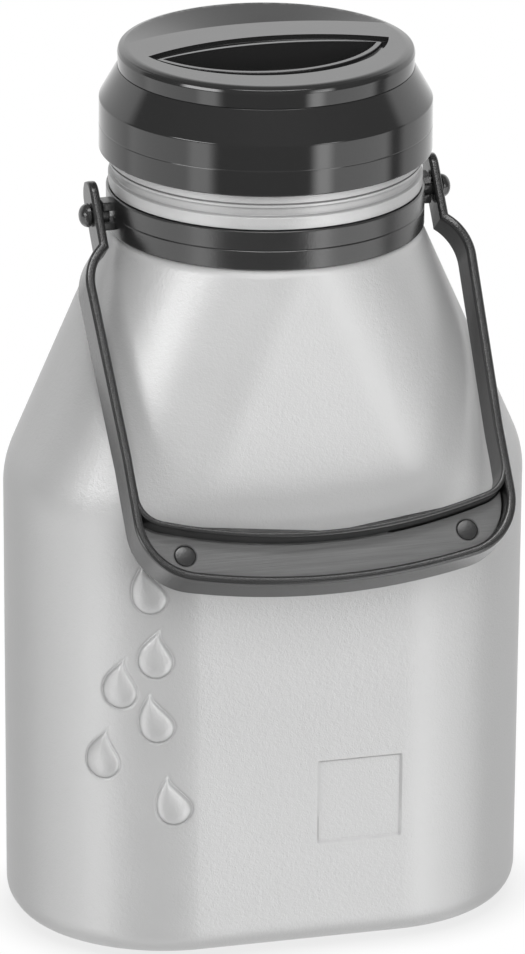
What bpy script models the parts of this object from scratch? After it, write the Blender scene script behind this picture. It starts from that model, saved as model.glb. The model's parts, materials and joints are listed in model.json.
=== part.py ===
"""A flat-fronted carrying bottle with a wide round neck, a screw lid and a swing bail handle.

Units are metres and +Z is up. The origin is the middle of the base, the front faces -Y, and the
handle hangs in front of the bottle with its arms just clear of the shoulders.
"""

import math

import bmesh
import bpy
from mathutils import Matrix, Vector

MM = 0.001
GAP = 0.3 * MM  # air between pieces that rest on, or are cut by, one another
MERGE = 0.00002  # weld distance of turned shapes
ROUND_STEPS = 60  # facets round every large round piece
PIN_STEPS = 20  # facets round pins and their holes
COLLECTION = "urine_bottle"
CUTTERS = "cutters"

# Body: a rounded-rectangle section that becomes the round neck over sloping shoulders
BODY_HALF_WIDTH = 75.8 * MM
BODY_HALF_DEPTH = 46.8 * MM
BODY_CORNER = 45.8 * MM
BODY_DRAFT = 1.0 * MM
BASE_FILLET = 8.5 * MM
SHOULDER_Z = 135.5 * MM
SHOULDER_SOFTNESS = 6.0 * MM
NECK_BASE_Z = 205.5 * MM
SHOULDER_TOP_RADIUS = 44.7 * MM
WALL = 2.0 * MM

# Neck: a seat for the collar, two low bands with a groove between them, and a threaded mouth
NECK_SEAT_RADIUS = 42.9 * MM
LOWER_BAND_RADIUS = 44.9 * MM
LOWER_BAND_TOP_Z = 221.2 * MM
UPPER_BAND_RADIUS = 44.7 * MM
UPPER_BAND_Z = (224.3 * MM, 228.9 * MM)
BAND_GROOVE_RADIUS = 44.2 * MM
BAND_GROOVE_Z = (221.9 * MM, 223.8 * MM)
MOUTH_RADIUS = 41.4 * MM
MOUTH_FOOT_Z = 230.2 * MM
MOUTH_BORE = 39.4 * MM
MOUTH_Z = 243.7 * MM
MOUTH_EDGE = 0.6 * MM
BORE_FOOT = 4.0 * MM  # the straight bore ends this far above the neck's base
INNER_SHOULDER_DROP = 8.0 * MM  # and meets the inner shoulder this far below it

# Relief on the front: six raised drops and a shallow sunk square
DROP_WIDTH = 10.0 * MM
DROP_HEIGHT = 15.2 * MM
DROP_RISE = 1.1 * MM
DROP_LEAN = 1.8 * MM
DROP_FOOT = 1.0 * MM  # how deep a drop is rooted in the wall
DROP_POINTS = 20
DROP_RINGS = 2
DROP_TAPER = 0.9  # how strongly the outline narrows towards the tip
DROP_CREST = 0.17  # the highest point is this share of the height below the middle
DROPS = (  # distance along the wall from its middle, height of the drop's middle, lean of its tip
    (-46.6 * MM, 113.8 * MM, -1),
    (-45.0 * MM, 94.3 * MM, 1),
    (-55.4 * MM, 84.6 * MM, 1),
    (-44.5 * MM, 74.7 * MM, -1),
    (-60.6 * MM, 62.6 * MM, 1),
    (-39.5 * MM, 49.5 * MM, -1),
)
SQUARE_SIDE = 25.4 * MM
SQUARE_X = 16.1 * MM
SQUARE_Z = 44.5 * MM
SQUARE_DEPTH = 0.5 * MM

# Collar and the two pins that the handle turns on
COLLAR_RADIUS = 45.5 * MM
COLLAR_BOTTOM_Z = 205.9 * MM
COLLAR_HEIGHT = 11.6 * MM
COLLAR_LINE = 0.4 * MM
COLLAR_EDGE = 0.3 * MM
PIVOT_Z = 212.0 * MM
FORK_HEIGHT = 8.4 * MM
FORK_SLOT = 3.2 * MM
FORK_DEPTH = 6.0 * MM
FORK_ROOT = 1.2 * MM  # how deep a lug is rooted in the collar
PIN_RADIUS = 2.3 * MM
PIN_HEAD_RADIUS = 3.45 * MM
PIN_HEAD_RISE = 2.9 * MM
PIN_TIP_EDGE = 0.4 * MM
PIN_BITE = 2.3 * MM  # how far a pin reaches into its fork
PIN_FIT = 0.1 * MM  # air round a pin in its bore

# Handle: two strap arms and a channel grip, drawn hanging straight down from the pivot axis
BAIL_REST_ANGLE = math.radians(38.5)
TAB_X = 50.5 * MM
TAB_THICKNESS = 2.7 * MM
TAB_TOP = 10.0 * MM
TAB_HALF_DEPTH = 4.7 * MM
ARM_X = 56.4 * MM  # below the bend; from there an arm leans in until it meets the rim
ARM_END_X = 54.8 * MM
ARM_END = 75.0 * MM
ARM_THICKNESS = 2.8 * MM
ARM_FRONT = 5.0 * MM
ARM_BACK = 6.5 * MM
ARM_BEND_END = 23.0 * MM
ARM_BEND_RADIUS = 15.2 * MM
OUTER_RIM = (56.2 * MM, 19.0 * MM, 117.4 * MM, 200.0 * MM)  # half-width, corner, depth, bow radius
INNER_RIM = (53.4 * MM, 8.0 * MM, 101.6 * MM, 165.0 * MM)
OUTER_RIM_THICKNESS = 2.7 * MM
INNER_RIM_THICKNESS = 1.7 * MM
PANEL_FRONT = -0.5 * MM  # heights of the panel's faces over the plane through the pivots
PANEL_BACK = -2.9 * MM
GUSSET_FROM_X = 34.0 * MM
GUSSET_THICKNESS = 1.5 * MM
GRIP_PIN_X = 41.6 * MM
GRIP_PIN_DEPTH = 103.7 * MM
GRIP_PIN_RADIUS = 3.0 * MM
GRIP_PIN_SHANK = 1.7 * MM
GRIP_PIN_TAIL = 2.6 * MM
GRIP_PIN_TAIL_LENGTH = 0.9 * MM
GRIP_PIN_EDGE = 0.3 * MM
GRIP_PIN_RECESS = 0.2 * MM
GRIP_PIN_FIT = 0.15 * MM  # air round a plug in its bores

# Lid: flared shell, top with a finger recess, threaded sleeve and flat seal
BELT_RADIUS = 47.6 * MM
BELT_TOP_Z = 243.3 * MM
BELT_EDGE = 0.6 * MM
BELT_CREASE_Z = 235.9 * MM
BELT_CREASE = 0.2 * MM
LID_BOTTOM_Z = 228.4 * MM
LID_BOTTOM_EDGE = 0.5 * MM
SHELL_TOP_Z = 252.6 * MM
SHELL_TOP_RADIUS = 42.4 * MM
SHELL_LIP = 1.8 * MM  # the shell's wall where the lid top sits in it
SHELL_BORE = 45.4 * MM
TOP_RADIUS = 42.4 * MM
TOP_Z = 258.7 * MM
TOP_EDGE = (  # radius and drop below the top, from the flat to the side
    (38.0 * MM, 0.0),
    (40.0 * MM, 0.12 * MM),
    (41.3 * MM, 0.4 * MM),
    (42.1 * MM, 1.0 * MM),
    (42.4 * MM, 2.0 * MM),
)
TOP_PLATE = 5.0 * MM
TOP_SPIGOT_WALL = 2.0 * MM
TOP_UNDERSIDE_Z = 247.2 * MM
POCKET_WALL = 1.8 * MM
POCKET_LEDGE_DEPTH = 1.7 * MM
POCKET_DEPTH = 9.3 * MM
PIT_LIP = 1.4 * MM  # width of the raised lip round the pit
PIT_LIP_DEPTH = 0.8 * MM  # how far the lip stays below the top
POCKET = (36.0 * MM, -2.5 * MM, -29.7 * MM, 7.8 * MM)  # tip x, tip y, front y, rear y
PIT = (32.0 * MM, -3.6 * MM, -22.8 * MM, 2.9 * MM)
SCOOP_FRONT = (40.0 * MM, 9.1 * MM, 19.8 * MM)  # half chord, its y, and the arc's middle y
SCOOP_DEPTH = 3.0 * MM
SCOOP_END_RADIUS = 41.0 * MM
SLEEVE_RADIUS = 45.0 * MM
SLEEVE_BORE = 43.4 * MM
SLEEVE_BOTTOM_Z = 230.5 * MM
SLEEVE_ROOF_Z = 245.5 * MM
SLEEVE_TOP_Z = 246.9 * MM
SEAL_THICKNESS = 1.2 * MM

# Screw thread
THREAD_LEAD = 4.5 * MM
THREAD_TURNS = 1.25
THREAD_STEPS = 48  # facets in one turn
THREAD_SINK = 0.6 * MM  # how deep a thread is rooted in its wall
THREAD_ROOT_WIDTH = 2.4 * MM
THREAD_CREST_WIDTH = 1.0 * MM
NECK_THREAD_Z = 232.5 * MM
NECK_CREST_RADIUS = 43.0 * MM
LID_CREST_RADIUS = 41.8 * MM
LID_THREAD_START = math.radians(120)

MATERIALS = {  # colour, roughness, metallic
    "silver_shell": ((0.56, 0.56, 0.57), 0.42, 0.75),
    "black_gloss": ((0.018, 0.018, 0.02), 0.12, 0.0),
    "black_satin": ((0.028, 0.028, 0.03), 0.38, 0.0),
    "brushed_black": ((0.05, 0.05, 0.052), 0.45, 0.0),
    "seal_rubber": ((0.35, 0.35, 0.34), 0.7, 0.0),
}


def clear_scene():
    for item in list(bpy.data.objects):
        bpy.data.objects.remove(item)


def make_collection(name):
    collection = bpy.data.collections.new(name)
    bpy.context.scene.collection.children.link(collection)
    return collection


def make_material(name):
    colour, roughness, metallic = MATERIALS[name]
    material = bpy.data.materials.new(name)
    material.use_nodes = True
    shader = material.node_tree.nodes["Principled BSDF"]
    shader.inputs["Base Color"].default_value = (*colour, 1.0)
    shader.inputs["Roughness"].default_value = roughness
    shader.inputs["Metallic"].default_value = metallic
    return material


def add_part(name, mesh, finish, parent=None):
    """Links a mesh as one named part; an optional parent empty carries its joint axis."""
    part = bpy.data.objects.new(name, mesh)
    part.parent = parent
    mesh.materials.append(bpy.data.materials.get(finish) or make_material(finish))
    bpy.data.collections[COLLECTION].objects.link(part)
    return part


def add_cutter(name, mesh, parent=None):
    """Links a mesh as a hidden helper that a Boolean uses."""
    cutter = bpy.data.objects.new(name, mesh)
    cutter.parent = parent
    cutter.hide_render = True
    cutter.display_type = "WIRE"
    bpy.data.collections[CUTTERS].objects.link(cutter)
    return cutter


def boolean(part, cutter, operation="DIFFERENCE"):
    modifier = part.modifiers.new(cutter.name, "BOOLEAN")
    modifier.operation = operation
    modifier.solver = "EXACT"
    modifier.object = cutter


def smooth(part, angle=35):
    part.data.shade_smooth()
    part.data.set_sharp_from_angle(angle=math.radians(angle))


def add_empty(name, location, rotation=(0, 0, 0)):
    empty = bpy.data.objects.new(name, None)
    empty.empty_display_size = 20 * MM
    empty.location = location
    empty.rotation_euler = rotation
    bpy.data.collections[COLLECTION].objects.link(empty)
    return empty


def mesh_from(name, build):
    """A mesh made by calling build with an empty bmesh; its faces are turned outwards."""
    mesh = bpy.data.meshes.new(name)
    shape = bmesh.new()
    build(shape)
    bmesh.ops.recalc_face_normals(shape, faces=shape.faces)
    shape.to_mesh(mesh)
    shape.free()
    return mesh


def loft(name, loops):
    """A closed skin over a list of loops that all have the same number of points."""

    def build(shape):
        rings = [[shape.verts.new(point) for point in loop] for loop in loops]
        count = len(rings[0])
        for lower, upper in zip(rings, rings[1:]):
            for i in range(count):
                j = (i + 1) % count
                shape.faces.new((lower[i], lower[j], upper[j], upper[i]))
        shape.faces.new(reversed(rings[0]))
        shape.faces.new(rings[-1])

    return mesh_from(name, build)


def turned_mesh(name, profile, closed):
    """A profile in the XZ plane, for a Screw modifier to turn about Z."""
    mesh = bpy.data.meshes.new(name)
    points = [(radius, 0.0, height) for radius, height in profile]
    edges = [(i, i + 1) for i in range(len(points) - 1)]
    if closed:
        edges.append((len(points) - 1, 0))
    mesh.from_pydata(points, edges, [])
    return mesh


def add_screw(part, steps=ROUND_STEPS):
    modifier = part.modifiers.new("turn", "SCREW")
    modifier.axis = "Z"
    modifier.steps = steps
    modifier.render_steps = steps
    modifier.use_merge_vertices = True
    modifier.merge_threshold = MERGE


def turned_part(name, profile, finish, closed, parent=None):
    part = add_part(name, turned_mesh(name, profile, closed), finish, parent)
    add_screw(part)
    return part


def prism_mesh(name, outline, low, high, placement=Matrix()):
    """A flat outline filled and extruded from low to high along its own Z, then placed."""
    curve = bpy.data.curves.new(name, "CURVE")
    curve.dimensions = "2D"
    curve.fill_mode = "BOTH"
    curve.extrude = (high - low) / 2
    spline = curve.splines.new("POLY")
    spline.points.add(len(outline) - 1)
    for point, (x, y) in zip(spline.points, outline):
        point.co = (x, y, 0.0, 1.0)
    spline.use_cyclic_u = True
    source = bpy.data.objects.new(name, curve)
    bpy.context.scene.collection.objects.link(source)
    graph = bpy.context.evaluated_depsgraph_get()
    mesh = bpy.data.meshes.new_from_object(source.evaluated_get(graph))
    bpy.data.objects.remove(source)
    shape = bmesh.new()
    shape.from_mesh(mesh)
    bmesh.ops.remove_doubles(shape, verts=shape.verts, dist=MERGE / 10)
    bmesh.ops.translate(shape, verts=shape.verts, vec=(0, 0, (low + high) / 2))
    bmesh.ops.transform(shape, verts=shape.verts, matrix=placement)
    bmesh.ops.recalc_face_normals(shape, faces=shape.faces)
    shape.to_mesh(mesh)
    shape.free()
    return mesh


def box_mesh(name, low, high):
    centre = (Vector(low) + Vector(high)) / 2
    size = Vector(high) - Vector(low)
    place = Matrix.Translation(centre) @ Matrix.Diagonal((*size, 1.0))
    return mesh_from(name, lambda shape: bmesh.ops.create_cube(shape, size=1.0, matrix=place))


def cylinder_mesh(name, radius, start, end, steps=PIN_STEPS):
    """A cylinder between two points."""
    start, end = Vector(start), Vector(end)
    turn = (end - start).to_track_quat("Z", "Y").to_matrix().to_4x4()
    place = Matrix.Translation((start + end) / 2) @ turn
    return mesh_from(
        name,
        lambda shape: bmesh.ops.create_cone(
            shape,
            cap_ends=True,
            segments=steps,
            radius1=radius,
            radius2=radius,
            depth=(end - start).length,
            matrix=place,
        ),
    )


def arc(centre_x, centre_y, radius, start, end, steps):
    """Points on a circular arc; the angles are in radians."""
    angles = [start + (end - start) * i / steps for i in range(steps + 1)]
    return [(centre_x + radius * math.cos(a), centre_y + radius * math.sin(a)) for a in angles]


def mix(a, b, share):
    return a + (b - a) * share


# ---------------------------------------------------------------- bottle


def rounded_loop(z, half_width, half_depth, corner):
    """A rounded rectangle at height z; it is a circle when all three sizes are equal."""
    loop = []
    for i in range(ROUND_STEPS):
        angle = 2 * math.pi * (i + 0.5) / ROUND_STEPS
        x = math.copysign(half_width - corner, math.cos(angle)) + corner * math.cos(angle)
        y = math.copysign(half_depth - corner, math.sin(angle)) + corner * math.sin(angle)
        loop.append((x, y, z))
    return loop


def circle_loop(z, radius):
    return rounded_loop(z, radius, radius, radius)


def shoulder_share(z):
    """0 on the walls and 1 at the neck, with a soft start to the slope."""
    rise = z - SHOULDER_Z
    if abs(rise) < SHOULDER_SOFTNESS:
        rise = (rise + SHOULDER_SOFTNESS) ** 2 / (4 * SHOULDER_SOFTNESS)
    return max(rise, 0.0) / (NECK_BASE_Z - SHOULDER_Z)


def body_loop(z, inset=0.0, at=None):
    """The body's section for height z, drawn at height at when that is given."""
    share = shoulder_share(z)
    draft = BODY_DRAFT * max(0.0, 1 - z / SHOULDER_Z)
    half_width = mix(BODY_HALF_WIDTH - draft, SHOULDER_TOP_RADIUS, share) - inset
    half_depth = mix(BODY_HALF_DEPTH - draft, SHOULDER_TOP_RADIUS, share) - inset
    corner = mix(BODY_CORNER - draft, SHOULDER_TOP_RADIUS, share) - inset
    return rounded_loop(z if at is None else at, half_width, half_depth, corner)


def base_loops(radius, inset, floor, steps):
    """Loops up the fillet round a flat base, for the outside or the inside."""
    loops = []
    for step in range(steps + 1):
        angle = math.pi / 2 * step / steps
        drop = radius * (1 - math.sin(angle))
        height = radius * (1 - math.cos(angle))
        loops.append(body_loop(0, inset + drop, floor + height))
    return loops


def shell_loops():
    slope = [SHOULDER_Z + SHOULDER_SOFTNESS * step for step in (-1, -0.5, 0, 0.5, 1)]
    inner_slope = slope[::2]
    neck = [
        (NECK_SEAT_RADIUS, NECK_BASE_Z),
        (NECK_SEAT_RADIUS, COLLAR_BOTTOM_Z + COLLAR_HEIGHT + GAP),
        (LOWER_BAND_RADIUS, COLLAR_BOTTOM_Z + COLLAR_HEIGHT + GAP),
        (LOWER_BAND_RADIUS, LOWER_BAND_TOP_Z),
        (BAND_GROOVE_RADIUS, BAND_GROOVE_Z[0]),
        (BAND_GROOVE_RADIUS, BAND_GROOVE_Z[1]),
        (UPPER_BAND_RADIUS, UPPER_BAND_Z[0]),
        (UPPER_BAND_RADIUS, UPPER_BAND_Z[1]),
        (MOUTH_RADIUS, MOUTH_FOOT_Z),
        (MOUTH_RADIUS, MOUTH_Z - MOUTH_EDGE),
        (MOUTH_RADIUS - MOUTH_EDGE, MOUTH_Z),
        (MOUTH_BORE + MOUTH_EDGE, MOUTH_Z),
        (MOUTH_BORE, MOUTH_Z - MOUTH_EDGE),
        (MOUTH_BORE, NECK_BASE_Z + BORE_FOOT),
    ]
    outside = base_loops(BASE_FILLET, 0.0, 0.0, 4)
    outside += [body_loop(z) for z in slope + [NECK_BASE_Z]]
    inside = base_loops(BASE_FILLET - WALL, WALL, WALL, 2)
    inside += [body_loop(z, WALL) for z in inner_slope + [NECK_BASE_Z - INNER_SHOULDER_DROP]]
    return outside + [circle_loop(z, radius) for radius, z in neck] + inside[::-1]


def thread_mesh(name, root_radius, crest_radius, start_z, start_angle):
    """A helical ridge that fades out at both ends; its root is sunk into the wall it grows from."""
    steps = round(THREAD_STEPS * THREAD_TURNS)
    fade = THREAD_STEPS / 10
    loops = []
    for i in range(steps + 1):
        angle = start_angle + 2 * math.pi * i / THREAD_STEPS
        z = start_z + THREAD_LEAD * (angle / (2 * math.pi))
        height = min(1.0, i / fade, (steps - i) / fade)
        crest = mix(root_radius, crest_radius, max(height, 0.05))
        section = (
            (root_radius, -THREAD_ROOT_WIDTH / 2),
            (crest, -THREAD_CREST_WIDTH / 2),
            (crest, THREAD_CREST_WIDTH / 2),
            (root_radius, THREAD_ROOT_WIDTH / 2),
        )
        loops.append([(r * math.cos(angle), r * math.sin(angle), z + dz) for r, dz in section])
    return loft(name, loops)


def wall_frame(along, z):
    """A frame on the front wall: X along the wall, Y up and Z out of it."""
    flat = BODY_HALF_WIDTH - BODY_CORNER
    angle = max(0.0, abs(along) - flat) / BODY_CORNER
    turn = math.copysign(angle, along)
    draft = BODY_DRAFT * (1 - z / SHOULDER_Z)
    radius = BODY_CORNER - draft
    x = math.copysign(min(abs(along), flat), along) + radius * math.sin(turn)
    y = -(BODY_HALF_DEPTH - BODY_CORNER) - radius * math.cos(turn)
    out = Vector((math.sin(turn), -math.cos(turn), 0))
    side = Vector((math.cos(turn), math.sin(turn), 0))
    place = Matrix((side, Vector((0, 0, 1)), out)).transposed().to_4x4()
    place.translation = (x, y, z)
    return place


def drop_outline(lean):
    """The outline of a drop, round at the bottom and drawn to a leaning tip at the top."""
    halves = [2 * math.pi * i / DROP_POINTS for i in range(DROP_POINTS // 2 + 1)]
    widths = [math.sin(half) * math.cos(half / 2) ** DROP_TAPER for half in halves]
    scale = DROP_WIDTH / 2 / max(widths)
    right = []
    for half, width in zip(halves, widths):
        up = -math.cos(half)
        shift = lean * DROP_LEAN * max(0.0, up) ** 2
        right.append((width * scale, shift, up * DROP_HEIGHT / 2))
    left = [(-width, shift, y) for width, shift, y in right[-2:0:-1]]
    return [(width + shift, y) for width, shift, y in right + left]


def drop_mesh(name, place, lean):
    """A domed drop, rooted in the wall."""
    outline = drop_outline(lean)
    crest_y = -DROP_HEIGHT * DROP_CREST
    loops = [[(x, y, -DROP_FOOT) for x, y in outline], [(x, y, 0) for x, y in outline]]
    for ring in range(1, DROP_RINGS + 1):
        angle = math.pi / 2 * ring / (DROP_RINGS + 0.5)
        shrink, rise = math.cos(angle), DROP_RISE * math.sin(angle)
        loops.append([(x * shrink, mix(crest_y, y, shrink), rise) for x, y in outline])
    loops = [[place @ Vector(point) for point in loop] for loop in loops]
    return loft(name, loops)


def square_mesh(name):
    """The cutter for a sunk square with sloping sides on the flat of the front."""
    draft = BODY_DRAFT * (1 - SQUARE_Z / SHOULDER_Z)
    face = -(BODY_HALF_DEPTH - draft)
    loops = []
    for depth in (SQUARE_DEPTH, -1 * MM):
        half = SQUARE_SIDE / 2 - depth
        corners = ((-half, -half), (half, -half), (half, half), (-half, half))
        loops.append([(SQUARE_X + x, face + depth, SQUARE_Z + z) for x, z in corners])
    return loft(name, loops)


def make_bottle():
    shell = add_part("bottle_shell", loft("bottle_shell", shell_loops()), "silver_shell")
    root = MOUTH_RADIUS - THREAD_SINK
    thread = thread_mesh("neck_thread", root, NECK_CREST_RADIUS, NECK_THREAD_Z, 0.0)
    boolean(shell, add_cutter("neck_thread", thread), "UNION")
    for number, (along, z, lean) in enumerate(DROPS, 1):
        name = f"drop_{number}"
        drop = drop_mesh(name, wall_frame(along, z), lean)
        boolean(shell, add_cutter(name, drop), "UNION")
    boolean(shell, add_cutter("sunk_square", square_mesh("sunk_square")))
    smooth(shell)


# ---------------------------------------------------------------- collar and pivot pins


def make_collar():
    low, high = COLLAR_BOTTOM_Z, COLLAR_BOTTOM_Z + COLLAR_HEIGHT
    middle, bore = (low + high) / 2, NECK_SEAT_RADIUS + GAP
    profile = [
        (COLLAR_RADIUS - COLLAR_EDGE, high),
        (COLLAR_RADIUS, high - COLLAR_EDGE),
        (COLLAR_RADIUS, middle + COLLAR_LINE / 2),
        (COLLAR_RADIUS - COLLAR_LINE / 2, middle),
        (COLLAR_RADIUS, middle - COLLAR_LINE / 2),
        (COLLAR_RADIUS, low + COLLAR_EDGE),
        (COLLAR_RADIUS - COLLAR_EDGE, low),
        (bore, low),
        (bore, high),
    ]
    collar = turned_part("neck_collar", profile, "black_satin", closed=True)
    tab_face = TAB_X - TAB_THICKNESS / 2 - GAP
    for side, word in ((-1, "left"), (1, "right")):
        for way, place in ((-1, "lower"), (1, "upper")):
            near, far = FORK_SLOT / 2, FORK_HEIGHT / 2
            heights = sorted((PIVOT_Z + way * near, PIVOT_Z + way * far))
            reach = sorted((side * (COLLAR_RADIUS - FORK_ROOT), side * tab_face))
            low_corner = (reach[0], -FORK_DEPTH / 2, heights[0])
            high_corner = (reach[1], FORK_DEPTH / 2, heights[1])
            name = f"fork_{word}_{place}"
            boolean(collar, add_cutter(name, box_mesh(name, low_corner, high_corner)), "UNION")
        start = (side * (tab_face - PIN_BITE - GAP), 0, PIVOT_Z)
        end = (side * (tab_face + 1 * MM), 0, PIVOT_Z)
        name = f"fork_bore_{word}"
        boolean(collar, add_cutter(name, cylinder_mesh(name, PIN_RADIUS + PIN_FIT, start, end)))
    smooth(collar)


def make_pivot_pins():
    """Domed pins: each passes through an eye of the handle into a fork of the collar."""
    tab_face = TAB_X + TAB_THICKNESS / 2 + GAP
    tip = TAB_X - TAB_THICKNESS / 2 - GAP - PIN_BITE
    dome = arc(0, 0, 1.0, math.pi / 2, 0, 6)
    profile = [(PIN_HEAD_RADIUS * x, tab_face + PIN_HEAD_RISE * y) for x, y in dome]
    profile[0] = (0.0, tab_face + PIN_HEAD_RISE)
    profile += [
        (PIN_RADIUS, tab_face),
        (PIN_RADIUS, tip + PIN_TIP_EDGE),
        (PIN_RADIUS - PIN_TIP_EDGE, tip),
        (0.0, tip),
    ]
    for side, word in ((-1, "left"), (1, "right")):
        name = f"pivot_pin_{word}"
        pin = add_part(name, turned_mesh(name, profile, closed=False), "black_satin")
        pin.location = (0, 0, PIVOT_Z)
        pin.rotation_euler = (0, side * math.pi / 2, 0)
        add_screw(pin, PIN_STEPS)
        smooth(pin)


# ---------------------------------------------------------------- handle


def rim_corner(rim):
    """Centre of a rim's corner fillet, as distance from the middle and depth below the pivots."""
    half, corner, depth, bow = rim
    drop = math.sqrt((bow - corner) ** 2 - (half - corner) ** 2)
    return half - corner, depth - bow + drop


def rim_path(rim, offset):
    """A rim from its left side, round the bowed bottom, to its right side; offset grows it."""
    half, corner, depth, bow = rim
    corner_x, corner_s = rim_corner(rim)
    lean = math.asin(corner_x / (bow - corner))
    quarter = math.pi / 2
    right = arc(corner_x, corner_s, corner + offset, 0, quarter - lean, 8)
    bottom = arc(0, depth - bow, bow + offset, quarter - lean, quarter, 6)
    half_path = right + bottom[1:]
    left = [(-x, s) for x, s in half_path[:-1]]
    return left + half_path[::-1]


def rim_depth(rim, offset, x):
    """Depth of the corner of a rim at distance x from the middle."""
    corner_x, corner_s = rim_corner(rim)
    return corner_s + math.sqrt((rim[1] + offset) ** 2 - (x - corner_x) ** 2)


def web_outline(inset, half_limit=None):
    """The opening between the two rims of the grip, shrunk by inset and cut at half_limit."""
    half = half_limit or OUTER_RIM[0] - OUTER_RIM_THICKNESS - inset
    lower = rim_path(OUTER_RIM, -OUTER_RIM_THICKNESS - inset)
    upper = rim_path(INNER_RIM, INNER_RIM_THICKNESS + inset)
    lower = [(x, s) for x, s in lower if abs(x) <= half + MERGE]
    upper = [(x, s) for x, s in upper if abs(x) < half - MERGE]
    if not half_limit:
        tip = rim_depth(INNER_RIM, INNER_RIM_THICKNESS + inset, half)
        upper = [(-half, tip)] + upper + [(half, tip)]
    return [(x, -s) for x, s in lower + upper[::-1]]


def side_path(offset, tab_offset):
    """One edge of the right arm from the top of its tab down to where it meets the rim."""
    radius = ARM_BEND_RADIUS + offset
    centre_x = ARM_X - ARM_BEND_RADIUS
    tab_x = TAB_X + tab_offset
    start = -math.acos((tab_x - centre_x) / radius)
    bend = arc(centre_x, ARM_BEND_END, radius, start, 0, 7)
    return [(tab_x, -TAB_TOP - 1 * MM)] + bend + [(ARM_END_X + offset, ARM_END)]


def frame_outline():
    """The handle seen from the front: arms outside and the inside edge above the grip."""
    outer = side_path(ARM_THICKNESS / 2, TAB_THICKNESS / 2)
    inner = side_path(-ARM_THICKNESS / 2, -TAB_THICKNESS / 2)
    outside = [(-x, s) for x, s in outer] + rim_path(OUTER_RIM, 0) + outer[::-1]
    inside = inner + rim_path(INNER_RIM, 0)[::-1] + [(-x, s) for x, s in inner[::-1]]
    return [(x, -s) for x, s in outside + inside]


def side_outline():
    """The handle seen from the side: rounded at the top of its tabs, straight below."""
    top = arc(0, TAB_TOP - TAB_HALF_DEPTH, TAB_HALF_DEPTH, 0, math.pi, 10)
    bottom = -OUTER_RIM[2] - 2 * MM
    wide_from = -ARM_BEND_END / 2
    front = [(-TAB_HALF_DEPTH, wide_from + 1 * MM), (-ARM_FRONT, wide_from), (-ARM_FRONT, bottom)]
    back = [(ARM_BACK, bottom), (ARM_BACK, -ARM_BEND_END), (TAB_HALF_DEPTH, wide_from)]
    return top + front + back


UPRIGHT = Matrix.Rotation(math.pi / 2, 4, "X")  # outline X stays X, outline Y becomes Z
SIDEWAYS = Matrix.Rotation(math.pi / 2, 4, "Z") @ UPRIGHT  # outline X becomes Y, outline Y becomes Z


def make_handle():
    """The frame, its grip panel and the two pins that hold the panel, all on the pivot axis."""
    pivot = add_empty("bail_pivot", (0, 0, PIVOT_Z), (-BAIL_REST_ANGLE, 0, 0))
    depth = ARM_BACK + 2 * MM
    frame = add_part(
        "bail_frame",
        prism_mesh("bail_frame", frame_outline(), -depth, depth, UPRIGHT),
        "black_satin",
        pivot,
    )
    reach = OUTER_RIM[0] + 2 * MM
    side = add_cutter("frame_side", prism_mesh("frame_side", side_outline(), -reach, reach, SIDEWAYS), pivot)
    boolean(frame, side, "INTERSECT")
    gusset_front = PANEL_BACK - GAP
    gusset_back = gusset_front - GUSSET_THICKNESS
    cuts = {
        "web_front": (web_outline(0), gusset_front, depth),
        "web_back": (web_outline(0), -depth, gusset_back),
        "web_middle": (web_outline(0, GUSSET_FROM_X), -depth, depth),
    }
    for name, (outline, low, high) in cuts.items():
        boolean(frame, add_cutter(name, prism_mesh(name, outline, low, high, UPRIGHT), pivot))
    eye = cylinder_mesh("eyes", PIN_RADIUS + PIN_FIT, (-reach, 0, 0), (reach, 0, 0))
    boolean(frame, add_cutter("eyes", eye, pivot))
    for way, word in ((-1, "left"), (1, "right")):
        name = f"gusset_bore_{word}"
        x = way * GRIP_PIN_X
        ends = ((x, 1 * MM, -GRIP_PIN_DEPTH), (x, 1.5 * depth, -GRIP_PIN_DEPTH))
        bore = cylinder_mesh(name, GRIP_PIN_SHANK + GRIP_PIN_FIT, *ends)
        boolean(frame, add_cutter(name, bore, pivot))
    smooth(frame)

    panel = add_part(
        "grip_panel",
        prism_mesh("grip_panel", web_outline(GAP), PANEL_BACK, PANEL_FRONT, UPRIGHT),
        "brushed_black",
        pivot,
    )
    for way, word in ((-1, "left"), (1, "right")):
        name = f"panel_bore_{word}"
        x = way * GRIP_PIN_X
        ends = ((x, -1.5 * depth, -GRIP_PIN_DEPTH), (x, 1.5 * depth, -GRIP_PIN_DEPTH))
        bore = cylinder_mesh(name, GRIP_PIN_RADIUS + GRIP_PIN_FIT, *ends)
        boolean(panel, add_cutter(name, bore, pivot))
        make_grip_pin(f"grip_pin_{word}", x, gusset_back, pivot)
    smooth(panel)


def make_grip_pin(name, x, gusset_back, pivot):
    """A round plug through the panel with a shank through the gusset and a snap tail behind it."""
    face = PANEL_FRONT - GRIP_PIN_RECESS
    tail = gusset_back - GAP
    profile = [
        (0.0, face),
        (GRIP_PIN_RADIUS - GRIP_PIN_EDGE, face),
        (GRIP_PIN_RADIUS, face - GRIP_PIN_EDGE),
        (GRIP_PIN_RADIUS, PANEL_BACK),
        (GRIP_PIN_SHANK, PANEL_BACK),
        (GRIP_PIN_SHANK, tail),
        (GRIP_PIN_TAIL, tail),
        (GRIP_PIN_SHANK, tail - GRIP_PIN_TAIL_LENGTH),
        (0.0, tail - GRIP_PIN_TAIL_LENGTH),
    ]
    pin = add_part(name, turned_mesh(name, profile, closed=False), "black_satin", pivot)
    pin.location = (x, 0, -GRIP_PIN_DEPTH)
    pin.rotation_euler = (math.pi / 2, 0, 0)
    add_screw(pin, PIN_STEPS)
    smooth(pin)


# ---------------------------------------------------------------- lid


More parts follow.
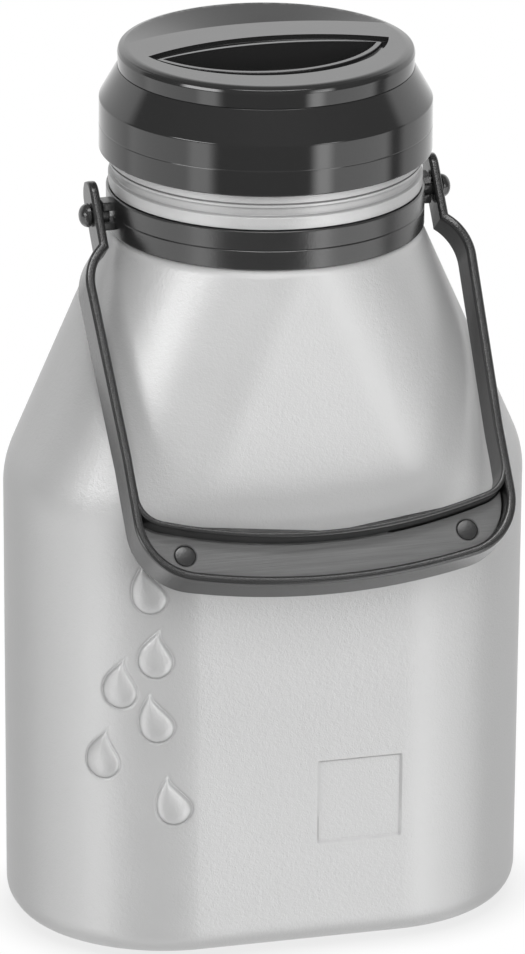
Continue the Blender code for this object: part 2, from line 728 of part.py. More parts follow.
def bowed_edge(half_chord, chord_y, middle_y, steps):
    """An arc from +half_chord to -half_chord through the point (0, middle_y)."""
    rise = middle_y - chord_y
    radius = (half_chord**2 + rise**2) / (2 * abs(rise))
    centre = middle_y - math.copysign(radius, rise)
    reach = math.asin(half_chord / radius)
    up = math.copysign(math.pi / 2, rise)
    if radius < abs(rise):
        reach = math.pi - reach
    return arc(0, centre, radius, up - math.copysign(reach, rise), up + math.copysign(reach, rise), steps)


def lens_outline(lens, grow=0.0):
    """A recess seen from above: a deep front arc and a shallow rear arc between two tips."""
    tip_x, tip_y, front, rear = lens
    back = bowed_edge(tip_x + grow, tip_y, rear + grow, 12)
    front_edge = bowed_edge(tip_x + grow, tip_y, front - grow, 18)
    return back + front_edge[::-1][1:-1]


def scoop_mesh(name):
    """A shallow dish behind the finger bar: deepest at the bar and running out at the back rim."""
    half_chord, chord_y, middle_y = SCOOP_FRONT
    slope = SCOOP_DEPTH / (SCOOP_END_RADIUS - middle_y)
    far = TOP_RADIUS + 1 * MM
    above = TOP_Z + 2 * MM

    def build(shape):
        columns = []
        for near in bowed_edge(half_chord, chord_y, middle_y, 16):
            radius = math.hypot(*near)
            rim = [far / radius * value for value in near]
            low_near, low_rim = (TOP_Z - slope * (SCOOP_END_RADIUS - r) for r in (radius, far))
            corners = ((*near, low_near), (*rim, low_rim), (*rim, above), (*near, above))
            columns.append([shape.verts.new(corner) for corner in corners])
        for first, second in zip(columns, columns[1:]):
            for i in range(4):
                j = (i + 1) % 4
                shape.faces.new((first[i], first[j], second[j], second[i]))
        shape.faces.new(columns[0])
        shape.faces.new(columns[-1][::-1])

    return mesh_from(name, build)


def make_lid_shell(axis):
    lip = SHELL_TOP_RADIUS - SHELL_LIP
    profile = [
        (SHELL_TOP_RADIUS - GAP, SHELL_TOP_Z),
        (SHELL_TOP_RADIUS, SHELL_TOP_Z - GAP),
        (BELT_RADIUS - BELT_EDGE, BELT_TOP_Z + BELT_EDGE),
        (BELT_RADIUS, BELT_TOP_Z - BELT_EDGE / 2),
        (BELT_RADIUS, BELT_CREASE_Z + BELT_CREASE),
        (BELT_RADIUS - BELT_CREASE, BELT_CREASE_Z),
        (BELT_RADIUS, BELT_CREASE_Z - BELT_CREASE),
        (BELT_RADIUS, LID_BOTTOM_Z + LID_BOTTOM_EDGE),
        (BELT_RADIUS - LID_BOTTOM_EDGE, LID_BOTTOM_Z),
        (SHELL_BORE + LID_BOTTOM_EDGE, LID_BOTTOM_Z),
        (SHELL_BORE, LID_BOTTOM_Z + LID_BOTTOM_EDGE),
        (SHELL_BORE, BELT_TOP_Z - BELT_EDGE),
        (lip, SHELL_TOP_Z - 1.5 * MM),
        (lip, SHELL_TOP_Z),
    ]
    smooth(turned_part("lid_shell", from_axis(profile), "black_gloss", closed=True, parent=axis))


def from_axis(profile):
    """Heights measured from the lid's own origin, at the bottom of the lid."""
    return [(radius, z - LID_BOTTOM_Z) for radius, z in profile]


def make_lid_top(axis):
    lip_z = SHELL_TOP_Z + GAP
    spigot = SHELL_TOP_RADIUS - SHELL_LIP - GAP
    hollow = spigot - TOP_SPIGOT_WALL
    plate_z = TOP_Z - TOP_PLATE
    profile = [
        (0.0, TOP_Z),
        *((radius, TOP_Z - drop) for radius, drop in TOP_EDGE),
        (TOP_RADIUS, lip_z),
        (spigot, lip_z),
        (spigot, TOP_UNDERSIDE_Z),
        (hollow, TOP_UNDERSIDE_Z),
        (hollow, plate_z),
        (0.0, plate_z),
    ]
    top = turned_part("lid_top", from_axis(profile), "black_gloss", closed=False, parent=axis)
    drop = Matrix.Translation((0, 0, -LID_BOTTOM_Z))
    above = TOP_Z + 1 * MM
    pocket_box = prism_mesh(
        "pocket_wall", lens_outline(PIT, POCKET_WALL), TOP_UNDERSIDE_Z, plate_z + 1 * MM, drop
    )
    boolean(top, add_cutter("pocket_wall", pocket_box, axis), "UNION")
    ledge_z = TOP_Z - POCKET_LEDGE_DEPTH
    ledge = prism_mesh("pocket_ledge", lens_outline(POCKET), ledge_z, above, drop)
    boolean(top, add_cutter("pocket_ledge", ledge, axis))
    lip = prism_mesh(
        "pit_lip", lens_outline(PIT, PIT_LIP), ledge_z - 1 * MM, TOP_Z - PIT_LIP_DEPTH, drop
    )
    boolean(top, add_cutter("pit_lip", lip, axis), "UNION")
    pit = prism_mesh("pocket_pit", lens_outline(PIT), TOP_Z - POCKET_DEPTH, above, drop)
    boolean(top, add_cutter("pocket_pit", pit, axis))
    scoop = scoop_mesh("rear_scoop")
    scoop.transform(drop)
    boolean(top, add_cutter("rear_scoop", scoop, axis))
    smooth(top)


def make_lid_sleeve(axis):
    seal_bore = MOUTH_RADIUS + 0.8 * MM
    profile = [
        (0.0, SLEEVE_TOP_Z),
        (SLEEVE_RADIUS - 3.1 * MM, SLEEVE_TOP_Z),
        (SLEEVE_RADIUS - 2.1 * MM, SLEEVE_TOP_Z - 0.5 * MM),
        (SLEEVE_RADIUS, BELT_TOP_Z - 0.3 * MM),
        (SLEEVE_RADIUS, SLEEVE_BOTTOM_Z + 0.3 * MM),
        (SLEEVE_RADIUS - 0.3 * MM, SLEEVE_BOTTOM_Z),
        (SLEEVE_BORE + 0.3 * MM, SLEEVE_BOTTOM_Z),
        (SLEEVE_BORE, SLEEVE_BOTTOM_Z + 0.3 * MM),
        (SLEEVE_BORE, BELT_TOP_Z - 1.5 * MM),
        (seal_bore, BELT_TOP_Z),
        (seal_bore, SLEEVE_ROOF_Z),
        (0.0, SLEEVE_ROOF_Z),
    ]
    sleeve = turned_part("lid_sleeve", from_axis(profile), "black_satin", closed=False, parent=axis)
    start_z = NECK_THREAD_Z - THREAD_LEAD / 2 - LID_BOTTOM_Z
    root = SLEEVE_BORE + THREAD_SINK
    thread = thread_mesh("lid_thread", root, LID_CREST_RADIUS, start_z, LID_THREAD_START)
    boolean(sleeve, add_cutter("lid_thread", thread, axis), "UNION")
    smooth(sleeve)


def make_lid_seal(axis):
    bottom = MOUTH_Z + GAP
    outer, inner = MOUTH_RADIUS + 0.4 * MM, MOUTH_BORE - 0.5 * MM
    profile = [
        (outer, bottom + SEAL_THICKNESS),
        (outer, bottom),
        (inner, bottom),
        (inner, bottom + SEAL_THICKNESS),
    ]
    smooth(turned_part("lid_seal", from_axis(profile), "seal_rubber", closed=True, parent=axis))


def main():
    clear_scene()
    make_collection(COLLECTION)
    make_collection(CUTTERS)
    make_bottle()
    make_collar()
    make_pivot_pins()
    make_handle()
    lid_axis = add_empty("lid_axis", (0, 0, LID_BOTTOM_Z))
    make_lid_shell(lid_axis)
    make_lid_top(lid_axis)
    make_lid_sleeve(lid_axis)
    make_lid_seal(lid_axis)


main()
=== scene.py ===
"""Looks of the carrying bottle: fine surfaces, materials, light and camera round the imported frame.

Everything is in metres in the frame's own axes. A finer piece of the same size stands for each outer CAD
node, in the same place, and rides on the same body. The sleeve and the seal inside the lid stay as the CAD
made them, with finishes of their own.
"""

import json
from math import acos, asin, ceil, copysign, cos, hypot, pi, radians, sin, sqrt, tan

import bmesh
import bpy
import numpy as np
from mathutils import Matrix, Vector


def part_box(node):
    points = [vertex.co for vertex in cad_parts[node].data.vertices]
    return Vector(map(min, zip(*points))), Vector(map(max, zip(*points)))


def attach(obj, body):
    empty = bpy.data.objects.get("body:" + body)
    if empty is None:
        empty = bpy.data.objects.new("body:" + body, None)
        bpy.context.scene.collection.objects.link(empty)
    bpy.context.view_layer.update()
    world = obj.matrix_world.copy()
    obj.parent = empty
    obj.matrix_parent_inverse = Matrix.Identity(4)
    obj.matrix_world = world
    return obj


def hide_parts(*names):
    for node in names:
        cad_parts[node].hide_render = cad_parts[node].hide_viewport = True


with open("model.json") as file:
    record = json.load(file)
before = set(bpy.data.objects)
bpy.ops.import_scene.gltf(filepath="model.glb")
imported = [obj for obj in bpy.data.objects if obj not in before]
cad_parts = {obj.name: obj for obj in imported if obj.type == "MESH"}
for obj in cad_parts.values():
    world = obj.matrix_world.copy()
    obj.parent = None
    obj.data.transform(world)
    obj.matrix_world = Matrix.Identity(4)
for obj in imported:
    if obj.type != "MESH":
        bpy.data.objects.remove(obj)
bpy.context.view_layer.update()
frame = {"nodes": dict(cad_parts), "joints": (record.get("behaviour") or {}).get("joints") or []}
JOINTS = {joint["name"]: joint for joint in frame["joints"]}
MM = 0.001

# Sizes read from the frame
SHELL_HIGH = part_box("bottle_shell")[1]
COLLAR_LOW, COLLAR_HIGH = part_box("neck_collar")
LID_LOW, LID_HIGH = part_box("lid_shell")
TOP_LOW, TOP_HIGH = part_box("lid_top")
PIVOT = Vector(JOINTS["bail_swing"]["pos_m"])
BAIL_REST_ANGLE = radians(180 - JOINTS["bail_swing"]["range_deg"][1] / 2)

# Bottle
HALF_WIDTH = SHELL_HIGH.x
HALF_DEPTH = SHELL_HIGH.y
MOUTH_Z = SHELL_HIGH.z
CORNER = HALF_DEPTH - 1.0 * MM
DRAFT = 1.0 * MM
BASE_FILLET = 8.5 * MM
SHOULDER_Z = 135.5 * MM
SHOULDER_SOFTNESS = 6.0 * MM
NECK_BASE_Z = COLLAR_LOW.z - 0.4 * MM
SHOULDER_TOP_RADIUS = 44.7 * MM
WALL = 2.0 * MM
NECK_SEAT_RADIUS = 42.9 * MM
BAND_RADIUS = 44.9 * MM
MOUTH_RADIUS = 41.4 * MM
MOUTH_BORE = 39.4 * MM
GAP = 0.3 * MM  # between pieces that only lie close together
BAND_WIDEST_Z = 219.0 * MM
BAND_TAPER = 0.15 * MM  # how far the band's edges lie inside its widest part
BAND_TOP_Z = 228.9 * MM
MOUTH_FOOT_Z = 230.2 * MM
WIDE_GROOVE_Z = (221.35 * MM, 224.3 * MM)
WIDE_GROOVE_FLOOR_Z = (221.7 * MM, 223.9 * MM)
WIDE_GROOVE_DEPTH = 1.2 * MM
FINE_GROOVE_Z = 225.3 * MM
FINE_GROOVE_HALF = 0.3 * MM
FINE_GROOVE_DEPTH = 0.75 * MM
STATION_GAP = 0.05 * MM  # nearer stations are merged

# Relief on the front wall, placed by distance along the wall from its middle and by height
DROP_WIDTH = 10.2 * MM
DROP_HEIGHT = 15.6 * MM
DROP_RISE = 1.5 * MM
DROP_LEAN = 1.9 * MM
DROP_BEND = 4.1 * MM  # how much the middle line of a drop curls to the right
DROP_TAPER = 1.7
DROP_ROUNDNESS = 0.6
DROP_GROOVE = 0.3 * MM  # depth of the fine line round the foot of a drop
DROP_GROOVE_OUT = 0.15 * MM  # how far that line runs outside the drop
DROP_GROOVE_WIDTH = 0.28 * MM
DROPS = (  # along the wall, height of the middle, side that the tip leans to
    (-46.6 * MM, 113.8 * MM, -1),
    (-45.0 * MM, 94.3 * MM, 1),
    (-55.4 * MM, 84.6 * MM, 1),
    (-44.5 * MM, 74.7 * MM, -1),
    (-60.6 * MM, 62.6 * MM, 1),
    (-39.5 * MM, 49.5 * MM, -1),
)
DROP_GRID = 0.22 * MM
SQUARE_HALF = 12.7 * MM
SQUARE_X = 16.1 * MM
SQUARE_Z = 44.5 * MM
SQUARE_DEPTH = 0.5 * MM

# Neck thread
THREAD_LEAD = 4.5 * MM
THREAD_TURNS = 1.25
THREAD_Z = 232.5 * MM
THREAD_RISE = 1.6 * MM
THREAD_ROOT = 1.2 * MM  # half of the ridge's width at its root, and below at its crest
THREAD_CREST = 0.5 * MM

# Collar, forks and pins
COLLAR_RADIUS = COLLAR_HIGH.y
COLLAR_LINE = 0.22 * MM  # depth and half width of the line round the collar
TAB_X = 50.5 * MM
TAB_THICKNESS = 2.7 * MM
TAB_FACE_X = TAB_X - TAB_THICKNESS / 2 - GAP  # where a fork ends
PIN_RADIUS = 2.3 * MM
PIN_PLAY = 0.1 * MM
PIN_BORE_DEPTH = 2.6 * MM
FORK_SLOT = 3.2 * MM
FORK_HEIGHT = 8.4 * MM
FORK_DEPTH = 6.0 * MM
FORK_SUNK = 1.2 * MM  # how far a fork reaches into the collar

# Handle, drawn hanging straight down from the pivot axis
TAB_TOP = 10.0 * MM
TAB_HALF_DEPTH = 4.7 * MM
ARM_X = 56.4 * MM  # below the bend; from there an arm leans in until it meets the rim
ARM_END_X = 54.8 * MM
ARM_END = 75.0 * MM
ARM_THICKNESS = 2.8 * MM
ARM_FRONT = 5.0 * MM
ARM_BACK = 6.5 * MM
ARM_BEND_END = 23.0 * MM
ARM_BEND_RADIUS = 15.2 * MM
OUTER_RIM = (56.2 * MM, 19.0 * MM, 117.4 * MM, 200.0 * MM)  # half-width, corner, depth, bow radius
INNER_RIM = (53.4 * MM, 8.0 * MM, 101.6 * MM, 165.0 * MM)
OUTER_RIM_THICKNESS = 2.7 * MM
INNER_RIM_THICKNESS = 1.7 * MM
STRAP_EDGE = 0.9 * MM
INNER_EDGE = 0.6 * MM
PANEL_FRONT = -0.5 * MM  # heights of the panel's faces over the plane through the pivots
PANEL_BACK = -2.9 * MM
GUSSET_FROM_X = 34.0 * MM
GUSSET_THICKNESS = 1.5 * MM
GRIP_PIN_X = 41.6 * MM
GRIP_PIN_DEPTH = 103.7 * MM
GRIP_PIN_RADIUS = 3.0 * MM
GRIP_SHANK_RADIUS = 1.7 * MM
GRIP_TAIL_RADIUS = 2.6 * MM
GRIP_TAIL_LENGTH = 0.9 * MM
GRIP_PIN_PLAY = 0.15 * MM
GRIP_BORE_DEPTH = 8.0 * MM

# Lid
BELT_RADIUS = LID_HIGH.x
BELT_TOP_Z = 243.4 * MM
BELT_CREASE_Z = 235.9 * MM
BELT_CREASE = 0.2 * MM
LID_BOTTOM_Z = LID_LOW.z
SHELL_TOP_Z = LID_HIGH.z
SHELL_TOP_RADIUS = 42.4 * MM
SHELL_LIP = 1.8 * MM
SHELL_BORE = 45.4 * MM
LID_SEAM = 0.06 * MM
TOP_RADIUS = TOP_HIGH.x
TOP_Z = TOP_HIGH.z
POCKET = (36.0 * MM, -2.5 * MM, -29.7 * MM, 7.8 * MM)  # tip x, tip y, front y, rear y
PIT = (32.0 * MM, -3.6 * MM, -22.8 * MM, 2.9 * MM)
POCKET_LEDGE_DEPTH = 1.7 * MM
POCKET_DEPTH = 9.3 * MM
PIT_LIP = 1.4 * MM  # width of the raised lip round the pit
PIT_LIP_DEPTH = 0.8 * MM
SCOOP_FRONT = (40.0 * MM, 9.1 * MM, 19.8 * MM)  # half chord, its y, and the arc's middle y
SCOOP_DEPTH = 3.0 * MM
SCOOP_END_RADIUS = 41.0 * MM

ROUND_STEPS = 192
SIDES = ((-1, "left"), (1, "right"))

# Colours
SILVER = (0.40,) * 3
GLOSS_BLACK = (0.010,) * 3
SATIN_BLACK = (0.012,) * 3
GRAINED_BLACK = (0.065,) * 3
SEAL_GREY = (0.55, 0.55, 0.53)
FLOOR_GREY = (0.22,) * 3
WHITE = (1,) * 3
MIX_A, MIX_B, MIX_RESULT = 6, 7, 2  # the colour sockets of a mix node

# Camera
CAMERA_AZIMUTH = radians(-16.38)
CAMERA_ELEVATION = radians(19.51)
CAMERA_ROLL = radians(0.38)
CAMERA_DISTANCE = 3.2073
CAMERA_TARGET_Z = 131.06 * MM
CAMERA_TARGET_ASIDE = -2.81 * MM
CAMERA_LENS = 420.4  # this and the sensor's width are in millimetres
CAMERA_SENSOR = 36.0
CAMERA_SHIFT = (0.0094, -0.0100)

# Light
AMBIENT = 0.28
SOFTBOXES = (  # azimuths from the camera, elevations, softness of both, all in degrees; strength
    ((-250, -108), (-60, 32), (4, 10), 0.85),
    ((108, 250), (-60, 32), (4, 10), 0.85),
    ((-250, 250), (-100, -50), (1, 8), 1.2),
    ((-108, -36), (-50, -10), (4, 3), 1.4),
    ((34, 95), (-50, -8), (4, 3), 1.7),
    ((-40, 55), (60, 74), (4, 2), 9.0),
    ((-250, -108), (8, 32), (4, 6), 0.25),
    ((108, 250), (8, 32), (4, 6), 0.25),
    ((-54, -38), (-50, -4), (3, 3), 1.2),
    ((34, 46), (-50, -4), (3, 3), 2.4),
    ((-66, -36), (9, 21), (3, 2), 9.0),
    ((36, 52), (4, 17), (3, 2), 6.0),
)
DIFFUSE_SHARE = 0.3  # how much of the sky's light reaches the dull part of a surface
LAMPS = (  # name, azimuth from the front and elevation in degrees, distance, size, power
    ("key", -5, 28, 1.5, 1.2, 35),
    ("fill_left", -60, 25, 1.5, 0.9, 2),
    ("fill_back", 172, 30, 1.5, 0.9, 14),
)


# ---- mesh helpers


def link(name, data):
    """A new object in the scene."""
    thing = bpy.data.objects.new(name, data)
    bpy.context.scene.collection.objects.link(thing)
    return thing


def add_piece(name, mesh, body, finish, node, sharp_from=None):
    """A mesh as one visible piece that rides on a body and stands for a CAD node.

    It is shaded smooth, but for edges that turn by more than sharp_from degrees where that is given.
    """
    mesh.shade_smooth()
    if sharp_from:
        mesh.set_sharp_from_angle(angle=radians(sharp_from))
    piece = link(name, mesh)
    mesh.materials.clear()
    mesh.materials.append(finish)
    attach(piece, body)
    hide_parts(node)
    modifier = piece.modifiers.new("weighted_normals", "WEIGHTED_NORMAL")
    modifier.keep_sharp = True
    modifier.weight = 80


def finished(name, shape):
    """A mesh made of a bmesh, which is freed."""
    mesh = bpy.data.meshes.new(name)
    shape.to_mesh(mesh)
    shape.free()
    return mesh


def grid_mesh(name, rings):
    """A skin over an array of rings, shaped (rings, points, 3), closed at both ends."""
    rings = np.asarray(rings)
    rows, count = rings.shape[:2]
    lower = np.arange(count)
    upper = (lower + 1) % count
    faces = []
    for row in range(rows - 1):
        a, b = row * count, (row + 1) * count
        faces += np.stack([a + lower, a + upper, b + upper, b + lower], axis=1).tolist()
    faces.append(lower[::-1].tolist())
    faces.append(((rows - 1) * count + lower).tolist())
    mesh = bpy.data.meshes.new(name)
    mesh.from_pydata(rings.reshape(-1, 3).tolist(), [], faces)
    shape = bmesh.new()
    shape.from_mesh(mesh)
    bmesh.ops.recalc_face_normals(shape, faces=shape.faces)
    bmesh.ops.triangulate(shape, faces=[face for face in shape.faces if len(face.verts) > 4])
    shape.to_mesh(mesh)
    shape.free()
    return mesh


def edge_turn(steps):
    """A rounded edge of radius 1 from its wall to its face, as (distance from wall, distance from face)."""
    return [(1 - cos(angle), 1 - sin(angle)) for angle in np.linspace(0, pi / 2, steps)]


def rounded(points, steps=4):
    """Rounds a polyline: each point is (across, up, fillet radius)."""
    result = []
    last = len(points) - 1
    for index, (x, y, radius) in enumerate(points):
        here = Vector((x, y))
        if index in (0, last) or radius <= 0:
            result.append((x, y))
            continue
        before = Vector(points[index - 1][:2]) - here
        after = Vector(points[index + 1][:2]) - here
        half = before.angle(after) / 2
        reach = min(radius / tan(half), 0.48 * before.length, 0.48 * after.length)
        radius = reach * tan(half)
        start, end = here + before.normalized() * reach, here + after.normalized() * reach
        middle = (before.normalized() + after.normalized()).normalized()
        centre = here + middle * hypot(radius, reach)
        first, second = start - centre, end - centre
        sweep = first.angle_signed(second)
        for step in range(steps + 1):
            turned = first.copy()
            turned.rotate(Matrix.Rotation(-sweep * step / steps, 2))
            result.append(tuple(centre + turned))
    return result


def turned_mesh(name, profile, steps=ROUND_STEPS, closed=False):
    """A profile of (radius, z) turned about Z. A closed profile makes a ring."""
    turns = [(cos(angle), sin(angle)) for angle in np.arange(steps) * 2 * pi / steps]
    shape = bmesh.new()
    rings = []
    for radius, z in profile:
        if radius < 1e-7:
            rings.append([shape.verts.new((0, 0, z))])
        else:
            rings.append([shape.verts.new((radius * x, radius * y, z)) for x, y in turns])
    pairs = list(zip(rings, rings[1:]))
    if closed:
        pairs.append((rings[-1], rings[0]))
    for first, second in pairs:
        for i in range(steps):
            j = (i + 1) % steps
            lower = [first[i % len(first)], first[j % len(first)]]
            upper = [second[j % len(second)], second[i % len(second)]]
            unique = list(dict.fromkeys(lower + upper))
            if len(unique) > 2:
                shape.faces.new(unique)
    bmesh.ops.recalc_face_normals(shape, faces=shape.faces)
    return finished(name, shape)


def prism_mesh(name, outline, low, high, edge=0.0):
    """A flat outline extruded along Z; edge rounds the rims of both ends."""
    levels = [(low, 0.0), (high, 0.0)]
    if edge:
        levels = [(low + edge * up, edge * inset) for inset, up in edge_turn(4)[::-1]]
        levels += [(high - edge * down, edge * inset) for inset, down in edge_turn(4)]
    rings = [[(x, y, z) for x, y in inset_outline(outline, inset)] for z, inset in levels]
    return grid_mesh(name, rings)


def inset_outline(outline, inset):
    """A closed outline moved inwards by inset along its mitred normals."""
    if not inset:
        return outline
    points = np.array(outline)
    ahead = np.roll(points, -1, axis=0) - points
    ahead /= np.linalg.norm(ahead, axis=1)[:, None]
    behind = np.roll(ahead, 1, axis=0)
    left = np.stack([-ahead[:, 1], ahead[:, 0]], axis=1)
    left_behind = np.stack([-behind[:, 1], behind[:, 0]], axis=1)
    mitre = left + left_behind
    mitre /= np.maximum((mitre * mitre).sum(axis=1) / 2, 0.3)[:, None]
    area = np.sum(points[:, 0] * np.roll(points[:, 1], -1) - np.roll(points[:, 0], -1) * points[:, 1])
    return (points + copysign(inset, area) * mitre).tolist()


def arc(centre_x, centre_y, radius, start, end, steps):
    """Points on a circle from one angle to another."""
    angles = [start + (end - start) * i / steps for i in range(steps + 1)]
    return [(centre_x + radius * cos(a), centre_y + radius * sin(a)) for a in angles]


def combine(base, cutters, operation="DIFFERENCE"):
    """Cuts meshes from, or joins them to, a base mesh and returns the result as a new mesh."""
    target = link("combine_base", base)
    helpers = []
    for cutter in cutters:
        helpers.append(link("combine_cutter", cutter))
        modifier = target.modifiers.new("combine", "BOOLEAN")
        modifier.operation = operation
        modifier.solver = "EXACT"
        modifier.object = helpers[-1]
    graph = bpy.context.evaluated_depsgraph_get()
    result = bpy.data.meshes.new_from_object(target.evaluated_get(graph))
    for helper in [target] + helpers:
        bpy.data.objects.remove(helper)
    return result


# ---- node helpers


def new_material(name):
    """A material with its node tree and its shader."""
    material = bpy.data.materials.new(name)
    material.use_nodes = True
    return material, material.node_tree, material.node_tree.nodes["Principled BSDF"]


def set_inputs(node, **values):
    """Sets the sockets of a node by their names, with _ for a space."""
    for name, value in values.items():
        node.inputs[name.replace("_", " ")].default_value = value


def add_node(tree, kind, **values):
    """Adds a shader node; each value sets the property of that name or, where there is none, the socket."""
    node = tree.nodes.new("ShaderNode" + kind)
    for name, value in values.items():
        if hasattr(node, name):
            setattr(node, name, value)
        else:
            set_inputs(node, **{name: value})
    return node


def noise(tree, scale, detail, roughness, stretch=None):
    """A noise texture over object coordinates in metres; stretch scales the axes first."""
    source = add_node(tree, "TexCoord").outputs["Object"]
    if stretch:
        mapping = add_node(tree, "Mapping", Scale=stretch)
        tree.links.new(source, mapping.inputs["Vector"])
        source = mapping.outputs["Vector"]
    node = add_node(tree, "TexNoise", Scale=scale, Detail=detail, Roughness=roughness)
    tree.links.new(source, node.inputs["Vector"])
    return node.outputs["Fac"]


def remap(tree, value, low, high, from_low=0.0, from_high=1.0):
    """A value scaled from one range to the range from low to high, and held inside it."""
    node = add_node(tree, "MapRange", From_Min=from_low, From_Max=from_high, To_Min=low, To_Max=high)
    tree.links.new(value, node.inputs["Value"])
    return node.outputs["Result"]


def calculate(tree, operation, first, second=None):
    """A sum on one or two values, each a number or a socket."""
    node = add_node(tree, "Math")
    node.operation = operation
    for socket, value in zip(node.inputs, (first, second)):
        if isinstance(value, (int, float)):
            socket.default_value = value
        elif value is not None:
            tree.links.new(value, socket)
    return node.outputs["Value"]


def multiply(tree, first, second):
    """The product of two values."""
    return calculate(tree, "MULTIPLY", first, second)


def tint(tree, value, colour):
    """The colour scaled by a value."""
    node = add_node(tree, "Mix", data_type="RGBA", blend_type="MULTIPLY", Factor=1.0)
    node.inputs[MIX_A].default_value = (*colour, 1.0)
    tree.links.new(value, node.inputs[MIX_B])
    return node.outputs[MIX_RESULT]


def bump(tree, height, strength, distance, normal=None):
    """A surface normal tilted by a height, on top of another normal where one is given."""
    node = add_node(tree, "Bump", Strength=strength, Distance=distance)
    tree.links.new(height, node.inputs["Height"])
    if normal:
        tree.links.new(normal, node.inputs["Normal"])
    return node.outputs["Normal"]


def crevice_shade(tree, distance, low, only_local=True):
    """Painted shade from ambient occlusion: 1 on open surfaces, falling to low in a crease narrower than
    distance.
    """
    node = add_node(tree, "AmbientOcclusion", Distance=distance, samples=8, only_local=only_local)
    return remap(tree, node.outputs["AO"], low, 1.0, from_low=0.35, from_high=0.95)


def finish_shader(tree, shader, normal, colour, roughness):
    """Links what the finishes have in common to the shader."""
    tree.links.new(normal, shader.inputs["Normal"])
    tree.links.new(colour, shader.inputs["Base Color"])
    tree.links.new(roughness, shader.inputs["Roughness"])


# ---- materials


def make_silver():
    """Silver moulded plastic: a fine orange-peel skin, faint flow mottling, and painted shade that darkens
    it in each crease.
    """
    material, tree, shader = new_material("silver_shell")
    peel = noise(tree, scale=900.0, detail=2.0, roughness=0.55)
    pebble = noise(tree, scale=2300.0, detail=1.0, roughness=0.5)
    mottle = noise(tree, scale=60.0, detail=3.0, roughness=0.6)
    normal = bump(tree, pebble, strength=0.4, distance=0.12 * MM)
    normal = bump(tree, peel, strength=0.3, distance=0.25 * MM, normal=normal)
    # painted shade: ambient occlusion darkens the base colour in each crease, such as the grooves and round
    # the feet of the drops
    crease_shade = crevice_shade(tree, distance=2.2 * MM, low=0.28)
    colour = tint(tree, multiply(tree, remap(tree, mottle, 0.97, 1.03), crease_shade), SILVER)
    finish_shader(tree, shader, normal, colour, remap(tree, mottle, 0.36, 0.42))
    set_inputs(shader, Metallic=0.4, Specular_IOR_Level=0.08)
    return material


def make_black_gloss():
    """Polished black plastic with a faint haze and a very slight waviness."""
    material, tree, shader = new_material("black_gloss")
    haze = noise(tree, scale=140.0, detail=4.0, roughness=0.6)
    wave = noise(tree, scale=45.0, detail=1.0, roughness=0.4)
    dust = noise(tree, scale=2600.0, detail=1.0, roughness=0.5)
    normal = bump(tree, wave, strength=0.15, distance=0.4 * MM)
    colour = tint(tree, remap(tree, dust, 0.85, 1.25), GLOSS_BLACK)
    finish_shader(tree, shader, normal, colour, remap(tree, haze, 0.07, 0.13))
    return material


def make_black_satin():
    """Satin black moulding: a soft grain and a cloudy sheen."""
    material, tree, shader = new_material("black_satin")
    grain = noise(tree, scale=1600.0, detail=2.0, roughness=0.6)
    cloud = noise(tree, scale=90.0, detail=3.0, roughness=0.6)
    normal = bump(tree, grain, strength=0.35, distance=0.1 * MM)
    colour = tint(tree, remap(tree, cloud, 0.8, 1.25), SATIN_BLACK)
    finish_shader(tree, shader, normal, colour, remap(tree, cloud, 0.20, 0.28))
    set_inputs(shader, Specular_IOR_Level=0.65)
    return material


def make_brushed_black():
    """Black with a fine straight grain along the grip."""
    material, tree, shader = new_material("brushed_black")
    lines = noise(tree, scale=1.0, detail=3.0, roughness=0.65, stretch=(60.0, 2200.0, 2200.0))
    streak = noise(tree, scale=1.0, detail=2.0, roughness=0.5, stretch=(18.0, 700.0, 700.0))
    normal = bump(tree, lines, strength=0.6, distance=0.12 * MM)
    shade = multiply(tree, remap(tree, lines, 0.7, 1.3), remap(tree, streak, 0.75, 1.25))
    finish_shader(tree, shader, normal, tint(tree, shade, GRAINED_BLACK), remap(tree, streak, 0.36, 0.5))
    return material


def make_seal_rubber():
    """Pale soft silicone, slightly cloudy."""
    material, tree, shader = new_material("seal_rubber")
    cloud = noise(tree, scale=220.0, detail=3.0, roughness=0.6)
    tree.links.new(bump(tree, cloud, strength=0.3, distance=0.1 * MM), shader.inputs["Normal"])
    tree.links.new(tint(tree, remap(tree, cloud, 0.9, 1.1), SEAL_GREY), shader.inputs["Base Color"])
    set_inputs(shader, Roughness=0.65)
    return material


# ---- bottle


def section_points(fraction, half_width, half_depth, corner):
    """Points at fractions of the way round a rounded rectangle, and their outward directions.

    The way starts at the middle of the front and goes towards +X.
    """
    flat, side = half_width - corner, half_depth - corner
    bend = corner * pi / 2
    quarter = flat + bend + side
    along = np.mod(fraction, 1.0) * 4 * quarter
    turn = np.minimum(np.floor(along / quarter), 3)
    along = along - turn * quarter
    along = np.where(turn % 2 == 1, quarter - along, along)
    angle = np.clip((along - flat) / corner, 0, pi / 2)
    x = np.minimum(along, flat) + corner * np.sin(angle)
    y = side + corner * np.cos(angle) - np.maximum(along - flat - bend, 0)
    right = np.where(turn < 2, 1.0, -1.0)
    back = np.where((turn == 1) | (turn == 2), 1.0, -1.0)
    away = np.stack([right * np.sin(angle), back * np.cos(angle)], 1)
    return np.stack([right * x, back * y], 1), away


def body_section(z, inset=0.0):
    """Half-width, half-depth and corner radius of the body at a height."""
    rise = z - SHOULDER_Z
    if abs(rise) < SHOULDER_SOFTNESS:
        rise = (rise + SHOULDER_SOFTNESS) ** 2 / (4 * SHOULDER_SOFTNESS)
    share = max(rise, 0.0) / (NECK_BASE_Z - SHOULDER_Z)
    draft = DRAFT * max(0.0, 1 - z / SHOULDER_Z)
    sizes = (HALF_WIDTH - draft, HALF_DEPTH - draft, CORNER - draft)
    return [size + (SHOULDER_TOP_RADIUS - size) * share - inset for size in sizes]


